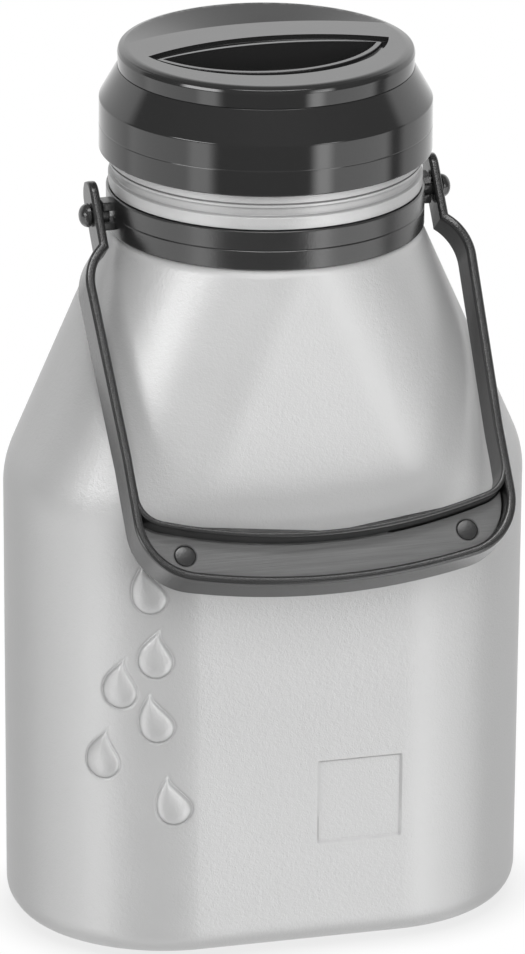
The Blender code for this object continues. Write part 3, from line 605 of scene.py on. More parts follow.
def drop_outline(lean):
    """A drop: a round bulb drawn up to a thin leaning tip that curls to the right."""
    bulb, half_height = DROP_WIDTH / 2, DROP_HEIGHT / 2
    centre = bulb - half_height
    right = arc(0, centre, bulb, -pi / 2, 0, 39)
    for share in np.linspace(0, 1, 60)[1:]:
        width = bulb * cos(share * pi / 2) ** DROP_TAPER
        right.append((width, centre + share * (half_height - centre)))
    left = [(-x, y) for x, y in right[-2:0:-1]]
    outline = []
    for x, y in right + left:
        up = y / half_height  # the lean sets in below the middle and grows evenly in the upper half
        ramp = up if up > 0.5 else max(0.0, up + 0.5) ** 2 / 2
        shift = DROP_BEND * max(0.0, up) ** 2 + (lean * DROP_LEAN - DROP_BEND) * ramp
        outline.append((x + shift, y))
    return np.array(outline)


def outline_distance(points, outline):
    """Distance from each point to a closed outline, negative outside it."""
    start, end = outline, np.roll(outline, -1, axis=0)
    edge = end - start
    away = points[:, None, :] - start[None]
    share = np.clip((away * edge).sum(2) / (edge * edge).sum(1), 0, 1)
    gap = np.linalg.norm(away - share[..., None] * edge, axis=2).min(1)
    crosses = (start[None, :, 1] > points[:, 1, None]) != (end[None, :, 1] > points[:, 1, None])
    fall = np.where(edge[:, 1] == 0, 1, edge[:, 1])
    level = start[:, 0] + (points[:, 1, None] - start[:, 1]) * edge[:, 0] / fall
    inside = (crosses & (points[:, 0, None] < level)).sum(1) % 2 == 1
    return np.where(inside, gap, -gap)


def drop_relief(along, heights):
    """Height of the drops over a grid of distances along the wall and heights."""
    field = np.zeros((len(heights), len(along)))
    for middle, z, lean in DROPS:
        rows = np.where(abs(heights - z) < DROP_HEIGHT * 0.6)[0]
        columns = np.where(abs(along - middle) < DROP_WIDTH * 0.8)[0]
        x, y = np.meshgrid(along[columns] - middle, heights[rows] - z)
        depth = outline_distance(np.stack([x.ravel(), y.ravel()], 1), drop_outline(lean))
        share = np.clip(depth / (DROP_WIDTH / 2), 0, 1)
        dome = DROP_RISE * (1 - (1 - share) ** 2) ** DROP_ROUNDNESS
        foot = np.clip(1.3 - 2 * y.ravel() / DROP_HEIGHT, 0, 1)  # the line fades out towards the tip
        groove = DROP_GROOVE * foot * np.exp(-(((depth + DROP_GROOVE_OUT) / DROP_GROOVE_WIDTH) ** 2))
        field[np.ix_(rows, columns)] += (dome - groove).reshape(x.shape)
    return soften(field)


def soften(field):
    """One pass of a small binomial blur."""
    for axis in (0, 1):
        field = field / 2 + (np.roll(field, 1, axis) + np.roll(field, -1, axis)) / 4
    return field


def square_relief(along, heights):
    """Depth of the sunk square over the same grid; its walls slope at 45 degrees."""
    x, z = np.meshgrid(abs(along - SQUARE_X), abs(heights - SQUARE_Z))
    inside = SQUARE_HALF - np.maximum(x, z)
    return -np.clip(inside, 0, SQUARE_DEPTH)


def thread_relief(angle, heights):
    """Height of the screw thread round the mouth; angle is measured from +X."""
    angle, z = np.meshgrid(np.mod(angle, 2 * pi), heights)
    field = np.zeros_like(z)
    for turn in range(ceil(THREAD_TURNS)):
        share = (angle / (2 * pi) + turn) / THREAD_TURNS
        centre = THREAD_Z + THREAD_LEAD * THREAD_TURNS * share
        fade = np.clip(np.minimum(share, 1 - share) * 12, 0, 1)  # over a twelfth of it at each end
        slope = np.clip((THREAD_ROOT - abs(z - centre)) / (THREAD_ROOT - THREAD_CREST), 0, 1)
        field = np.maximum(field, THREAD_RISE * slope * fade)
    return field


def spaced(*pieces):
    """Sorted stations from (start, end, step) stretches and single values."""
    values = []
    for piece in pieces:
        if isinstance(piece, tuple):
            start, end, step = piece
            values += list(np.linspace(start, end, max(2, round((end - start) / step) + 1)))
        else:
            values.append(piece)
    values = np.array(sorted(values))
    return values[np.concatenate([[True], np.diff(values) > STATION_GAP])]


def border(centre, half, width):
    """Stations that hold both edges of a sloping border, with one more on each side."""
    steps = (width / 2, 0, -width, -1.5 * width)
    return [centre + way * (half + step) for way in (-1, 1) for step in steps]


def neck_profile():
    """The neck's outside and its mouth, as (radius, z, fillet)."""
    seat_top = COLLAR_HIGH.z + GAP
    edge = BAND_RADIUS - BAND_TAPER
    groove = BAND_RADIUS - WIDE_GROOVE_DEPTH
    outside = [
        (NECK_SEAT_RADIUS, NECK_BASE_Z, 0),
        (NECK_SEAT_RADIUS, seat_top, 0),
        (edge, seat_top, 0.15 * MM),
        (BAND_RADIUS, BAND_WIDEST_Z, 2.0 * MM),
        (BAND_RADIUS, WIDE_GROOVE_Z[0], 0.3 * MM),
        (groove, WIDE_GROOVE_FLOOR_Z[0], 0.3 * MM),
        (groove, WIDE_GROOVE_FLOOR_Z[1], 0.3 * MM),
        (edge, WIDE_GROOVE_Z[1], 0.25 * MM),
        (edge, FINE_GROOVE_Z - FINE_GROOVE_HALF, 0.12 * MM),
        (BAND_RADIUS - FINE_GROOVE_DEPTH, FINE_GROOVE_Z, 0.1 * MM),
        (edge, FINE_GROOVE_Z + FINE_GROOVE_HALF, 0.12 * MM),
        (edge - 0.1 * MM, BAND_TOP_Z, 0.5 * MM),
        (MOUTH_RADIUS, MOUTH_FOOT_Z, 0.8 * MM),
    ]
    mouth = [(MOUTH_RADIUS, MOUTH_Z, 0.6 * MM), (MOUTH_BORE, MOUTH_Z, 0.6 * MM)]
    return outside, mouth


def wall_stations(flat, around):
    """Distances round the wall from the middle of its front, finest over the drops."""
    nearest = min(along for along, _, _ in DROPS) - 0.7 * DROP_WIDTH
    farthest = max(along for along, _, _ in DROPS) + 0.7 * DROP_WIDTH
    stations = spaced(
        (nearest, farthest, DROP_GRID),
        (farthest, flat, 2.5 * MM),
        (flat, around / 2 - flat, 2.0 * MM),
        (around / 2 - flat, around / 2 + flat, 5.0 * MM),
        (around / 2 + flat, around + nearest, 2.0 * MM),
        *border(SQUARE_X, SQUARE_HALF, SQUARE_DEPTH),
    )
    return stations[stations < around + nearest - STATION_GAP]


def wall_heights():
    """Heights of the rings of the wall, finest over the drops."""
    low = min(z for _, z, _ in DROPS) - 0.6 * DROP_HEIGHT
    high = max(z for _, z, _ in DROPS) + 0.6 * DROP_HEIGHT
    return spaced(
        (BASE_FILLET, low, 2.5 * MM),
        (low, high, DROP_GRID),
        (high, SHOULDER_Z - SHOULDER_SOFTNESS, 2.0 * MM),
        (SHOULDER_Z - SHOULDER_SOFTNESS, SHOULDER_Z + SHOULDER_SOFTNESS, 1.0 * MM),
        (SHOULDER_Z + SHOULDER_SOFTNESS, NECK_BASE_Z, 2.5 * MM),
        *border(SQUARE_Z, SQUARE_HALF, SQUARE_DEPTH),
    )


def make_bottle(finish):
    """The whole moulding as one skin: base, walls with their relief, neck, mouth and inside."""
    flat = HALF_WIDTH - CORNER
    around = 4 * (flat + CORNER * pi / 2 + HALF_DEPTH - CORNER)
    stations = wall_stations(flat, around)
    fraction = stations / around
    heights = wall_heights()
    relief = drop_relief(stations, heights) + square_relief(stations, heights)
    rings = []

    def add_ring(z, sizes, out=0.0):
        """A ring at a height; out moves its points outwards."""
        points, away = section_points(fraction, *sizes)
        points = points + away * np.reshape(out, (-1, 1))
        rings.append(np.column_stack([points, np.full(len(points), z)]))

    for up, inset in edge_turn(13)[:-1]:
        add_ring(BASE_FILLET * up, body_section(0, BASE_FILLET * inset))
    for z, out in zip(heights, relief):
        add_ring(z, body_section(z), out)
    outside, mouth = neck_profile()
    for radius, z in rounded(outside, 3):
        add_ring(z, [radius] * 3)
    thread_heights = spaced((MOUTH_FOOT_Z + 0.3 * MM, MOUTH_Z - 1.5 * MM, 0.3 * MM))
    thread = thread_relief(2 * pi * fraction - pi / 2, thread_heights)
    for z, out in zip(thread_heights, thread):
        add_ring(z, [MOUTH_RADIUS] * 3, out)
    inside = [(MOUTH_RADIUS, MOUTH_Z - 1.2 * MM, 0)] + mouth + [(MOUTH_BORE, NECK_BASE_Z + 4 * MM, 0)]
    for radius, z in rounded(inside, 4):
        add_ring(z, [radius] * 3)
    for z in np.linspace(NECK_BASE_Z - 8 * MM, SHOULDER_Z + SHOULDER_SOFTNESS, 8):
        add_ring(z, body_section(z, WALL))
    for z in (SHOULDER_Z, SHOULDER_Z - SHOULDER_SOFTNESS, BASE_FILLET):
        add_ring(z, body_section(z, WALL))
    inner_fillet = BASE_FILLET - WALL
    for up, inset in edge_turn(7)[-2::-1]:
        add_ring(WALL + inner_fillet * up, body_section(0, WALL + inner_fillet * inset))
    mesh = grid_mesh("bottle_skin", rings)
    add_piece("bottle_skin", mesh, "bottle", finish, "bottle_shell")


# ---- collar and pins


def box_mesh(name, low, high, edge):
    """A box with rounded edges."""
    shape = bmesh.new()
    centre = (Vector(low) + Vector(high)) / 2
    size = Vector(high) - Vector(low)
    place = Matrix.Translation(centre) @ Matrix.Diagonal((*size, 1.0))
    bmesh.ops.create_cube(shape, size=1.0, matrix=place)
    bmesh.ops.bevel(shape, geom=shape.edges[:], offset=edge, segments=3, profile=0.5, affect="EDGES")
    return finished(name, shape)


def cylinder_mesh(name, radius, start, end, flare=0.0):
    """A cylinder between two points; flare widens its end over the same length, to chamfer a hole."""
    start, end = Vector(start), Vector(end)
    length = (end - start).length
    profile = [(0, 0), (radius, 0), (radius, length - flare), (radius + flare, length), (0, length)]
    if not flare:
        profile.pop(2)
    mesh = turned_mesh(name, profile, 48)
    turn = (end - start).to_track_quat("Z", "Y").to_matrix().to_4x4()
    mesh.transform(Matrix.Translation(start) @ turn)
    return mesh


def make_collar(finish):
    """The black ring round the neck, with a fork at each side for the tabs of the handle."""
    low, high = COLLAR_LOW.z, COLLAR_HIGH.z
    middle, bore = (low + high) / 2, NECK_SEAT_RADIUS + GAP
    profile = [
        (bore, low, 0),
        (COLLAR_RADIUS, low, 0.5 * MM),
        (COLLAR_RADIUS, middle - COLLAR_LINE, 0.08 * MM),
        (COLLAR_RADIUS - COLLAR_LINE, middle, 0),
        (COLLAR_RADIUS, middle + COLLAR_LINE, 0.08 * MM),
        (COLLAR_RADIUS, high, 0.5 * MM),
        (bore, high, 0),
    ]
    ring = turned_mesh("collar_skin", rounded(profile), closed=True)
    forks, bores = [], []
    for side, _ in SIDES:
        reach = sorted((side * (COLLAR_RADIUS - FORK_SUNK), side * TAB_FACE_X))
        for way in (-1, 1):
            heights = sorted(PIVOT.z + way * half for half in (FORK_SLOT / 2, FORK_HEIGHT / 2))
            start = (reach[0], -FORK_DEPTH / 2, heights[0])
            end = (reach[1], FORK_DEPTH / 2, heights[1])
            forks.append(box_mesh("fork", start, end, 0.5 * MM))
        start = (side * (TAB_FACE_X - PIN_BORE_DEPTH), 0, PIVOT.z)
        end = (side * (TAB_FACE_X + 1 * MM), 0, PIVOT.z)
        bores.append(cylinder_mesh("bore", PIN_RADIUS + PIN_PLAY, start, end))
    ring = combine(combine(ring, forks, "UNION"), bores)
    add_piece("collar_skin", ring, "bottle", finish, "neck_collar", 40)


def make_pivot_pins(finish):
    """The two pins that the handle turns on: a shank in the collar and a domed head outside the tab."""
    for side, word in SIDES:
        node = f"pivot_pin_{word}"
        low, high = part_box(node)
        head_radius = high.y
        face = TAB_X + TAB_THICKNESS / 2 + GAP
        crown = high.x if side > 0 else -low.x
        tip = low.x if side > 0 else -high.x
        foot, chamfer = face + 0.25 * MM, 0.4 * MM
        shank = [(0.0, tip), (PIN_RADIUS - chamfer, tip), (PIN_RADIUS, tip + chamfer), (PIN_RADIUS, face)]
        head = [(head_radius - 0.2 * MM, face)]
        for angle in np.linspace(0, pi / 2, 14)[:-1]:
            head.append((head_radius * cos(angle) ** 0.8, foot + (crown - foot) * sin(angle)))
        head.append((0.0, crown))
        mesh = turned_mesh(f"{node}_skin", shank + head, 64)
        mesh.transform(Matrix.Translation(PIVOT) @ Matrix.Rotation(side * pi / 2, 4, "Y"))
        add_piece(f"{node}_skin", mesh, "bottle", finish, node, 40)


# ---- handle


def bail_matrix():
    """Places a piece drawn with X across, Y up from the pivot and Z to the front of the handle."""
    upright = Matrix.Rotation(pi / 2, 4, "X")
    return Matrix.Translation(PIVOT) @ Matrix.Rotation(-BAIL_REST_ANGLE, 4, "X") @ upright


def rim_corner(rim):
    """Centre of a rim's corner, as distance from the middle and depth below the pivots."""
    half, corner, depth, bow = rim
    drop = sqrt((bow - corner) ** 2 - (half - corner) ** 2)
    return half - corner, depth - bow + drop


def rim_path(rim, offset):
    """A rim from its left side, round the bowed bottom, to its right side; offset grows it."""
    _, corner, depth, bow = rim
    corner_x, corner_s = rim_corner(rim)
    lean = asin(corner_x / (bow - corner))
    quarter = pi / 2
    right = arc(corner_x, corner_s, corner + offset, 0, quarter - lean, 16)
    bottom = arc(0, depth - bow, bow + offset, quarter - lean, quarter, 24)
    half_path = right + bottom[1:]
    return [(-x, s) for x, s in half_path[:-1]] + half_path[::-1]


def strap_section(half_thickness, front, back, edge):
    """A rounded rectangle: across the strap's thickness and through its depth."""
    edge = min(edge, 0.95 * (front + back) / 2, 0.95 * half_thickness)
    points = []
    for quadrant, (right, through) in enumerate(((1, front), (-1, front), (-1, -back), (1, -back))):
        centre = (right * (half_thickness - edge), through - copysign(edge, through))
        start = quadrant * pi / 2
        points += arc(*centre, edge, start, start + pi / 2, 4)
    return points


def strap_mesh(name, path, edge):
    """A strap swept along a path of (x, depth below pivot, half thickness, front, back)."""
    centres = np.array([(x, -s) for x, s, *_ in path])
    ahead = np.diff(centres, axis=0)
    ahead /= np.linalg.norm(ahead, axis=1)[:, None]
    first = np.vstack([ahead[:1], ahead])
    second = np.vstack([ahead, ahead[-1:]])
    normals = np.stack([-(first + second)[:, 1], (first + second)[:, 0]], 1)
    normals /= (normals * normals).sum(1)[:, None] / 2
    rings = []
    for (x, y), normal, (_, _, half_thickness, front, back) in zip(centres, normals, path):
        section = np.array(strap_section(half_thickness, front, back, edge))
        along = np.array((x, y)) + section[:, :1] * normal
        rings.append(np.column_stack([along, section[:, 1]]))
    return grid_mesh(name, rings)


def arm_path():
    """The right arm from the top of its tab down to the start of the outer rim."""
    path = []
    for angle in np.linspace(0.12, pi / 2, 10):
        s = -TAB_TOP + TAB_HALF_DEPTH * (1 - cos(angle))
        depth = TAB_HALF_DEPTH * sin(angle)
        path.append((TAB_X, s, TAB_THICKNESS / 2, depth, depth))
    centre_x = ARM_X - ARM_BEND_RADIUS
    start = -acos((TAB_X - centre_x) / ARM_BEND_RADIUS)
    kink = ARM_BEND_END + ARM_BEND_RADIUS * sin(start)
    for s in np.linspace(0, kink - 1.0 * MM, 4):
        path.append((TAB_X, s, TAB_THICKNESS / 2, TAB_HALF_DEPTH, TAB_HALF_DEPTH))
    bend = arc(centre_x, ARM_BEND_END, ARM_BEND_RADIUS, start, 0, 16)
    for share, (x, s) in zip(np.linspace(0, 1, len(bend)), bend):
        front = TAB_HALF_DEPTH + (ARM_FRONT - TAB_HALF_DEPTH) * min(1.0, 3 * share)
        back = TAB_HALF_DEPTH + (ARM_BACK - TAB_HALF_DEPTH) * share
        path.append((x, s, ARM_THICKNESS / 2, front, back))
    for share in np.linspace(0, 1, 12)[1:]:
        x = ARM_X + (ARM_END_X - ARM_X) * share
        s = ARM_BEND_END + (ARM_END - ARM_BEND_END) * share
        path.append((x, s, ARM_THICKNESS / 2, ARM_FRONT, ARM_BACK))
    return path


def web_outline(inset):
    """The opening between the two rims of the grip, shrunk by inset."""
    half = OUTER_RIM[0] - OUTER_RIM_THICKNESS - inset
    lower = rim_path(OUTER_RIM, -OUTER_RIM_THICKNESS - inset)
    upper = rim_path(INNER_RIM, INNER_RIM_THICKNESS + inset)
    corner_x, corner_s = rim_corner(INNER_RIM)
    reach = INNER_RIM[1] + INNER_RIM_THICKNESS + inset
    tip = corner_s + sqrt(reach**2 - (half - corner_x) ** 2)
    lower = [(x, s) for x, s in lower if s > tip + 0.3 * MM]
    upper = [(x, s) for x, s in upper if abs(x) < half - 0.2 * MM]
    upper = [(-half, tip)] + upper + [(half, tip)]
    return [(x, -s) for x, s in lower + upper[::-1]]


def gusset_outline(side):
    """The plate that closes one end of the grip channel, sunk a little into both rims."""
    return [(x, y) for x, y in web_outline(-0.6 * MM) if side * x > GUSSET_FROM_X]


def grip_bores(radius, front, flare=0.0):
    """Cutters for the two holes of the grip pins, up to a height over the plane through the pivots."""
    bores = []
    for side, _ in SIDES:
        x, y = side * GRIP_PIN_X, -GRIP_PIN_DEPTH
        bores.append(cylinder_mesh("bore", radius, (x, y, -GRIP_BORE_DEPTH), (x, y, front), flare))
    return bores


def make_bail_frame(finish):
    """The two arms with their eyes, both rims of the grip and the plates that close its ends."""
    half_rim = OUTER_RIM_THICKNESS / 2
    arm = arm_path()
    rim = [(x, s, half_rim, ARM_FRONT, ARM_BACK) for x, s in rim_path(OUTER_RIM, -half_rim)]
    left = [(-x, *rest) for x, *rest in arm]
    outer = strap_mesh("bail_frame_skin", left + rim + arm[::-1], STRAP_EDGE)
    half_inner = INNER_RIM_THICKNESS / 2
    inner_top = rim_corner(INNER_RIM)[1] - 12 * MM
    inside_arm = INNER_RIM[0] + half_inner + 0.25 * MM
    inner = [(-inside_arm, inner_top)] + rim_path(INNER_RIM, half_inner) + [(inside_arm, inner_top)]
    short = 0.02 * MM  # keeps the faces of the two straps apart where they meet
    inner = [(x, s, half_inner, ARM_FRONT - short, ARM_BACK - short) for x, s in inner]
    parts = [strap_mesh("inner_rim", inner, INNER_EDGE)]
    back = PANEL_BACK - GAP
    for side, _ in SIDES:
        parts.append(prism_mesh("gusset", gusset_outline(side), back - GUSSET_THICKNESS, back))
    eyes = cylinder_mesh("eyes", PIN_RADIUS + PIN_PLAY, (-HALF_WIDTH, 0, 0), (HALF_WIDTH, 0, 0))
    mesh = combine(outer, parts, "UNION")
    mesh = combine(mesh, [eyes] + grip_bores(GRIP_SHANK_RADIUS + GRIP_PIN_PLAY, 0))
    mesh.transform(bail_matrix())
    add_piece("bail_frame_skin", mesh, "bail", finish, "bail_frame", 35)


def make_grip_panel(finish):
    """The grained panel between the rims, with a chamfered hole at each end."""
    mesh = prism_mesh("grip_panel_skin", web_outline(GAP), PANEL_BACK, PANEL_FRONT, edge=0.25 * MM)
    bores = grip_bores(GRIP_PIN_RADIUS + GRIP_PIN_PLAY, PANEL_FRONT + 0.02 * MM, flare=0.35 * MM)
    mesh = combine(mesh, bores)
    mesh.transform(bail_matrix())
    add_piece("grip_panel_skin", mesh, "bail", finish, "grip_panel", 30)


def make_grip_pins(finish):
    """The two plugs: a round head in the panel, a shank through the end plate and a tail behind it."""
    face, back = PANEL_FRONT - 0.2 * MM, PANEL_BACK
    tail = back - GAP - GUSSET_THICKNESS - GAP
    end = tail - GRIP_TAIL_LENGTH
    profile = [
        (0, face, 0),
        (GRIP_PIN_RADIUS, face, 0.3 * MM),
        (GRIP_PIN_RADIUS, back, 0),
        (GRIP_SHANK_RADIUS, back, 0),
        (GRIP_SHANK_RADIUS, tail, 0),
        (GRIP_TAIL_RADIUS, tail, 0.2 * MM),
        (GRIP_SHANK_RADIUS, end, 0.2 * MM),
        (0, end, 0),
    ]
    for side, word in SIDES:
        node = f"grip_pin_{word}"
        mesh = turned_mesh(f"{node}_skin", rounded(profile), 64)
        mesh.transform(bail_matrix() @ Matrix.Translation((side * GRIP_PIN_X, -GRIP_PIN_DEPTH, 0)))
        add_piece(f"{node}_skin", mesh, "bail", finish, node, 40)


# ---- lid


def make_lid_shell(finish):
    """The outer part of the lid: the belt with its crease, and the flare up to the ring."""
    lip = SHELL_TOP_RADIUS - SHELL_LIP
    profile = [
        (SHELL_BORE, BELT_TOP_Z - 0.6 * MM, 0),
        (SHELL_BORE, LID_BOTTOM_Z, 0.4 * MM),
        (BELT_RADIUS, LID_BOTTOM_Z, 0.5 * MM),
        (BELT_RADIUS, BELT_CREASE_Z - BELT_CREASE, 0.2 * MM),
        (BELT_RADIUS - BELT_CREASE / 3, BELT_CREASE_Z, 0.2 * MM),
        (BELT_RADIUS, BELT_CREASE_Z + BELT_CREASE, 0.2 * MM),
        (BELT_RADIUS, BELT_TOP_Z, 1.2 * MM),
        (SHELL_TOP_RADIUS, SHELL_TOP_Z, 0.3 * MM),
        (lip, SHELL_TOP_Z, 0.2 * MM),
        (lip, SHELL_TOP_Z - 1.5 * MM, 0),
    ]
    mesh = turned_mesh("lid_shell_skin", rounded(profile), closed=True)
    add_piece("lid_shell_skin", mesh, "lid", finish, "lid_shell", 50)


def bowed_edge(half_chord, chord_y, middle_y, steps):
    """An arc from +half_chord to -half_chord through the point (0, middle_y)."""
    rise = middle_y - chord_y
    radius = (half_chord**2 + rise**2) / (2 * abs(rise))
    centre = middle_y - copysign(radius, rise)
    reach = asin(half_chord / radius)
    up = copysign(pi / 2, rise)
    return arc(0, centre, radius, up - copysign(reach, rise), up + copysign(reach, rise), steps)


def lens_outline(lens):
    """A recess seen from above: a deep front arc and a shallow rear arc between two tips."""
    tip_x, tip_y, front, rear = lens
    back = bowed_edge(tip_x, tip_y, rear, 48)
    return back + bowed_edge(tip_x, tip_y, front, 64)[::-1][1:-1]


def recess_cutter(name, outline, floor_z, lip_z, lip, foot):
    """A cutter for a recess: a rounded foot, straight walls and a rounded lip at lip_z."""
    levels = [(floor_z + foot * up, foot * inset) for inset, up in edge_turn(5)[::-1]]
    levels += [(lip_z - lip * down, -lip * out) for out, down in edge_turn(6)]
    levels.append((lip_z + 2 * MM, -lip))
    rings = [[(x, y, z) for x, y in inset_outline(outline, inset)] for z, inset in levels]
    return grid_mesh(name, rings)


def scoop_cutter():
    """Cuts the dish behind the finger bar: deepest at the bar and running out at the back rim."""
    half_chord, chord_y, middle_y = SCOOP_FRONT
    far = TOP_RADIUS + 4 * MM
    slope = SCOOP_DEPTH / (SCOOP_END_RADIUS - middle_y)
    roof = TOP_Z + 1 * MM
    floor = [(radius, TOP_Z - slope * (SCOOP_END_RADIUS - radius)) for radius in np.linspace(0, far, 26)]
    dish = turned_mesh("dish", floor + [(far, roof), (0, roof)])
    edge = bowed_edge(half_chord, chord_y, middle_y, 48)
    outline = edge[::-1] + [(far, chord_y), (far, far), (-far, far), (-far, chord_y)]
    behind = recess_cutter("behind_bar", outline, TOP_Z - 2 * SCOOP_DEPTH, TOP_Z, 0.6 * MM, 0.1 * MM)
    return combine(dish, [behind], "INTERSECT")


def pit_lip():
    """The raised lip round the pit, before the pit is cut: a low island with a rounded edge."""
    top, edge = TOP_Z - PIT_LIP_DEPTH, 0.25 * MM
    levels = [(TOP_Z - POCKET_LEDGE_DEPTH - 1 * MM, PIT_LIP)]
    levels += [(top - edge * down, PIT_LIP - edge * inset) for inset, down in edge_turn(5)]
    tip_x, tip_y, front, rear = PIT
    rings = []
    for z, out in levels:
        outline = lens_outline((tip_x + out, tip_y, front - out, rear + out))
        rings.append([(x, y, z) for x, y in outline])
    return grid_mesh("pit_lip", rings)


def make_lid_top(finish):
    """The inner part of the lid: the ring, the finger recess with its pit, and the scoop behind."""
    spigot = SHELL_TOP_RADIUS - SHELL_LIP - GAP
    seam_z = SHELL_TOP_Z + LID_SEAM
    profile = [
        (0, TOP_Z, 0),
        (TOP_RADIUS - 2.4 * MM, TOP_Z, 6 * MM),
        (TOP_RADIUS - 0.4 * MM, TOP_Z - 0.55 * MM, 0.9 * MM),
        (TOP_RADIUS, TOP_Z - 1.8 * MM, 1.2 * MM),
        (TOP_RADIUS - 0.15 * MM, seam_z, 0.2 * MM),
        (spigot, seam_z, 0),
        (spigot, TOP_LOW.z, 0),
        (0, TOP_LOW.z, 0),
    ]
    solid = turned_mesh("lid_top_skin", rounded(profile, 6))
    ledge_z, lip_z, floor_z = TOP_Z - POCKET_LEDGE_DEPTH, TOP_Z - PIT_LIP_DEPTH, TOP_Z - POCKET_DEPTH
    ledge = recess_cutter("ledge", lens_outline(POCKET), ledge_z, TOP_Z, 0.35 * MM, 0.3 * MM)
    pit = recess_cutter("pit", lens_outline(PIT), floor_z, lip_z, 0.25 * MM, 0.8 * MM)
    solid = combine(combine(solid, [ledge]), [pit_lip()], "UNION")
    mesh = combine(solid, [pit, scoop_cutter()])
    add_piece("lid_top_skin", mesh, "lid", finish, "lid_top", 40)


# ---- stage


def dress_cad_node(name, finish):
    """Gives a CAD node that stays in view its own procedural finish."""
    node = frame["nodes"][name]
    node.data.materials.clear()
    node.data.materials.append(finish)


def add_floor():
    """A pale floor: white to the camera but for a faint contact shade, and matt grey to everything else."""
    shape = bmesh.new()
    bmesh.ops.create_grid(shape, x_segments=1, y_segments=1, size=6.0)
    mesh = finished("floor", shape)
    material, tree, shader = new_material("floor")
    set_inputs(shader, Base_Color=(*FLOOR_GREY, 1), Roughness=0.9)
    shade = crevice_shade(tree, 14 * MM, 0.82, only_local=False)
    path = add_node(tree, "LightPath")
    white = add_node(tree, "Emission")
    tree.links.new(tint(tree, shade, WHITE), white.inputs["Color"])
    choice = add_node(tree, "MixShader")
    tree.links.new(path.outputs["Is Camera Ray"], choice.inputs["Fac"])
    tree.links.new(shader.outputs["BSDF"], choice.inputs[1])
    tree.links.new(white.outputs["Emission"], choice.inputs[2])
    tree.links.new(choice.outputs["Shader"], tree.nodes["Material Output"].inputs["Surface"])
    mesh.materials.append(material)
    floor = link("floor", mesh)
    floor.location.z = -0.2 * MM
    floor.visible_glossy = False


def window(tree, value, low, high, soft):
    """1 between low and high and 0 outside, with soft edges."""
    rise = remap(tree, value, 0.0, 1.0, low - soft, low + soft)
    fall = remap(tree, value, 1.0, 0.0, high - soft, high + soft)
    return multiply(tree, rise, fall)


def outwards(azimuth, elevation):
    """The direction from the bottle to a point that is seen at two angles; azimuth 0 is the front."""
    level = cos(elevation)
    return Vector((sin(azimuth) * level, -cos(azimuth) * level, sin(elevation)))


def add_lamp(name, azimuth, elevation, distance, size, power):
    """A large soft light that faces the bottle; the boxes on the sky give its reflections."""
    light = bpy.data.lights.new(name, "AREA")
    light.size = size
    light.energy = power
    lamp = link(name, light)
    away = outwards(radians(azimuth), radians(elevation))
    lamp.location = Vector((0, 0, MOUTH_Z / 2)) + away * distance
    lamp.rotation_mode = "QUATERNION"
    lamp.rotation_quaternion = away.to_track_quat("Z", "Y")
    lamp.visible_glossy = False


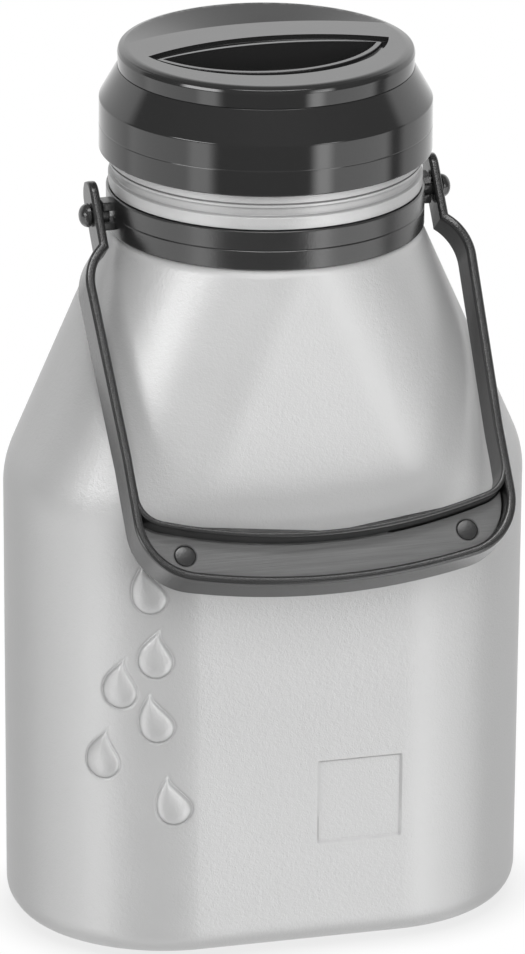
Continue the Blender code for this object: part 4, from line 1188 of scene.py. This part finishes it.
def light_studio():
    """Soft boxes round the bottle, drawn on the sky by azimuth and elevation as seen from the camera."""
    world = bpy.data.worlds.new("studio")
    bpy.context.scene.world = world
    world.use_nodes = True
    tree = world.node_tree
    direction = add_node(tree, "TexCoord")
    turned = add_node(tree, "VectorRotate", Angle=-CAMERA_AZIMUTH)
    turned.rotation_type = "Z_AXIS"
    tree.links.new(direction.outputs["Generated"], turned.inputs["Vector"])
    parts = add_node(tree, "SeparateXYZ")
    tree.links.new(turned.outputs["Vector"], parts.inputs["Vector"])
    away = multiply(tree, parts.outputs["Y"], -1.0)
    azimuth = calculate(tree, "DEGREES", calculate(tree, "ARCTAN2", parts.outputs["X"], away))
    elevation = calculate(tree, "DEGREES", calculate(tree, "ARCSINE", parts.outputs["Z"]))
    level = AMBIENT
    for azimuths, elevations, (side_soft, top_soft), strength in SOFTBOXES:
        across = window(tree, azimuth, *azimuths, side_soft)
        up = window(tree, elevation, *elevations, top_soft)
        patch = multiply(tree, multiply(tree, across, up), strength)
        level = calculate(tree, "ADD", level, patch)
    path = add_node(tree, "LightPath")
    dull = multiply(tree, path.outputs["Is Diffuse Ray"], DIFFUSE_SHARE - 1)
    level = multiply(tree, level, calculate(tree, "ADD", dull, 1.0))
    seen = add_node(tree, "Mix", B=1.0)
    tree.links.new(path.outputs["Is Camera Ray"], seen.inputs["Factor"])
    tree.links.new(level, seen.inputs["A"])
    background = tree.nodes["Background"]
    tree.links.new(seen.outputs["Result"], background.inputs["Strength"])
    set_inputs(background, Color=(*WHITE, 1))
    for lamp in LAMPS:
        add_lamp(*lamp)
    bpy.context.scene.view_settings.view_transform = "Standard"


def add_camera():
    """Looks from the front left and above, from far enough away to keep the perspective shallow."""
    camera_data = bpy.data.cameras.new("camera")
    camera = link("camera", camera_data)
    back = outwards(CAMERA_AZIMUTH, CAMERA_ELEVATION)
    right = Vector((cos(CAMERA_AZIMUTH), sin(CAMERA_AZIMUTH), 0))
    target = Vector((0, 0, CAMERA_TARGET_Z)) + right * CAMERA_TARGET_ASIDE
    camera.location = target + back * CAMERA_DISTANCE
    turn = back.to_track_quat("Z", "Y").to_matrix().to_4x4()
    camera.rotation_mode = "QUATERNION"
    camera.rotation_quaternion = (turn @ Matrix.Rotation(CAMERA_ROLL, 4, "Z")).to_quaternion()
    camera_data.sensor_width = CAMERA_SENSOR
    camera_data.lens = CAMERA_LENS
    camera_data.shift_x, camera_data.shift_y = CAMERA_SHIFT
    bpy.context.scene.camera = camera


def main():
    """Makes every piece and the stage."""
    silver = make_silver()
    gloss = make_black_gloss()
    satin = make_black_satin()
    brushed = make_brushed_black()
    rubber = make_seal_rubber()
    make_bottle(silver)
    make_collar(satin)
    make_pivot_pins(satin)
    make_bail_frame(satin)
    make_grip_panel(brushed)
    make_grip_pins(satin)
    make_lid_shell(gloss)
    make_lid_top(gloss)
    dress_cad_node("lid_sleeve", satin)
    dress_cad_node("lid_seal", rubber)
    add_floor()
    light_studio()
    add_camera()


main()
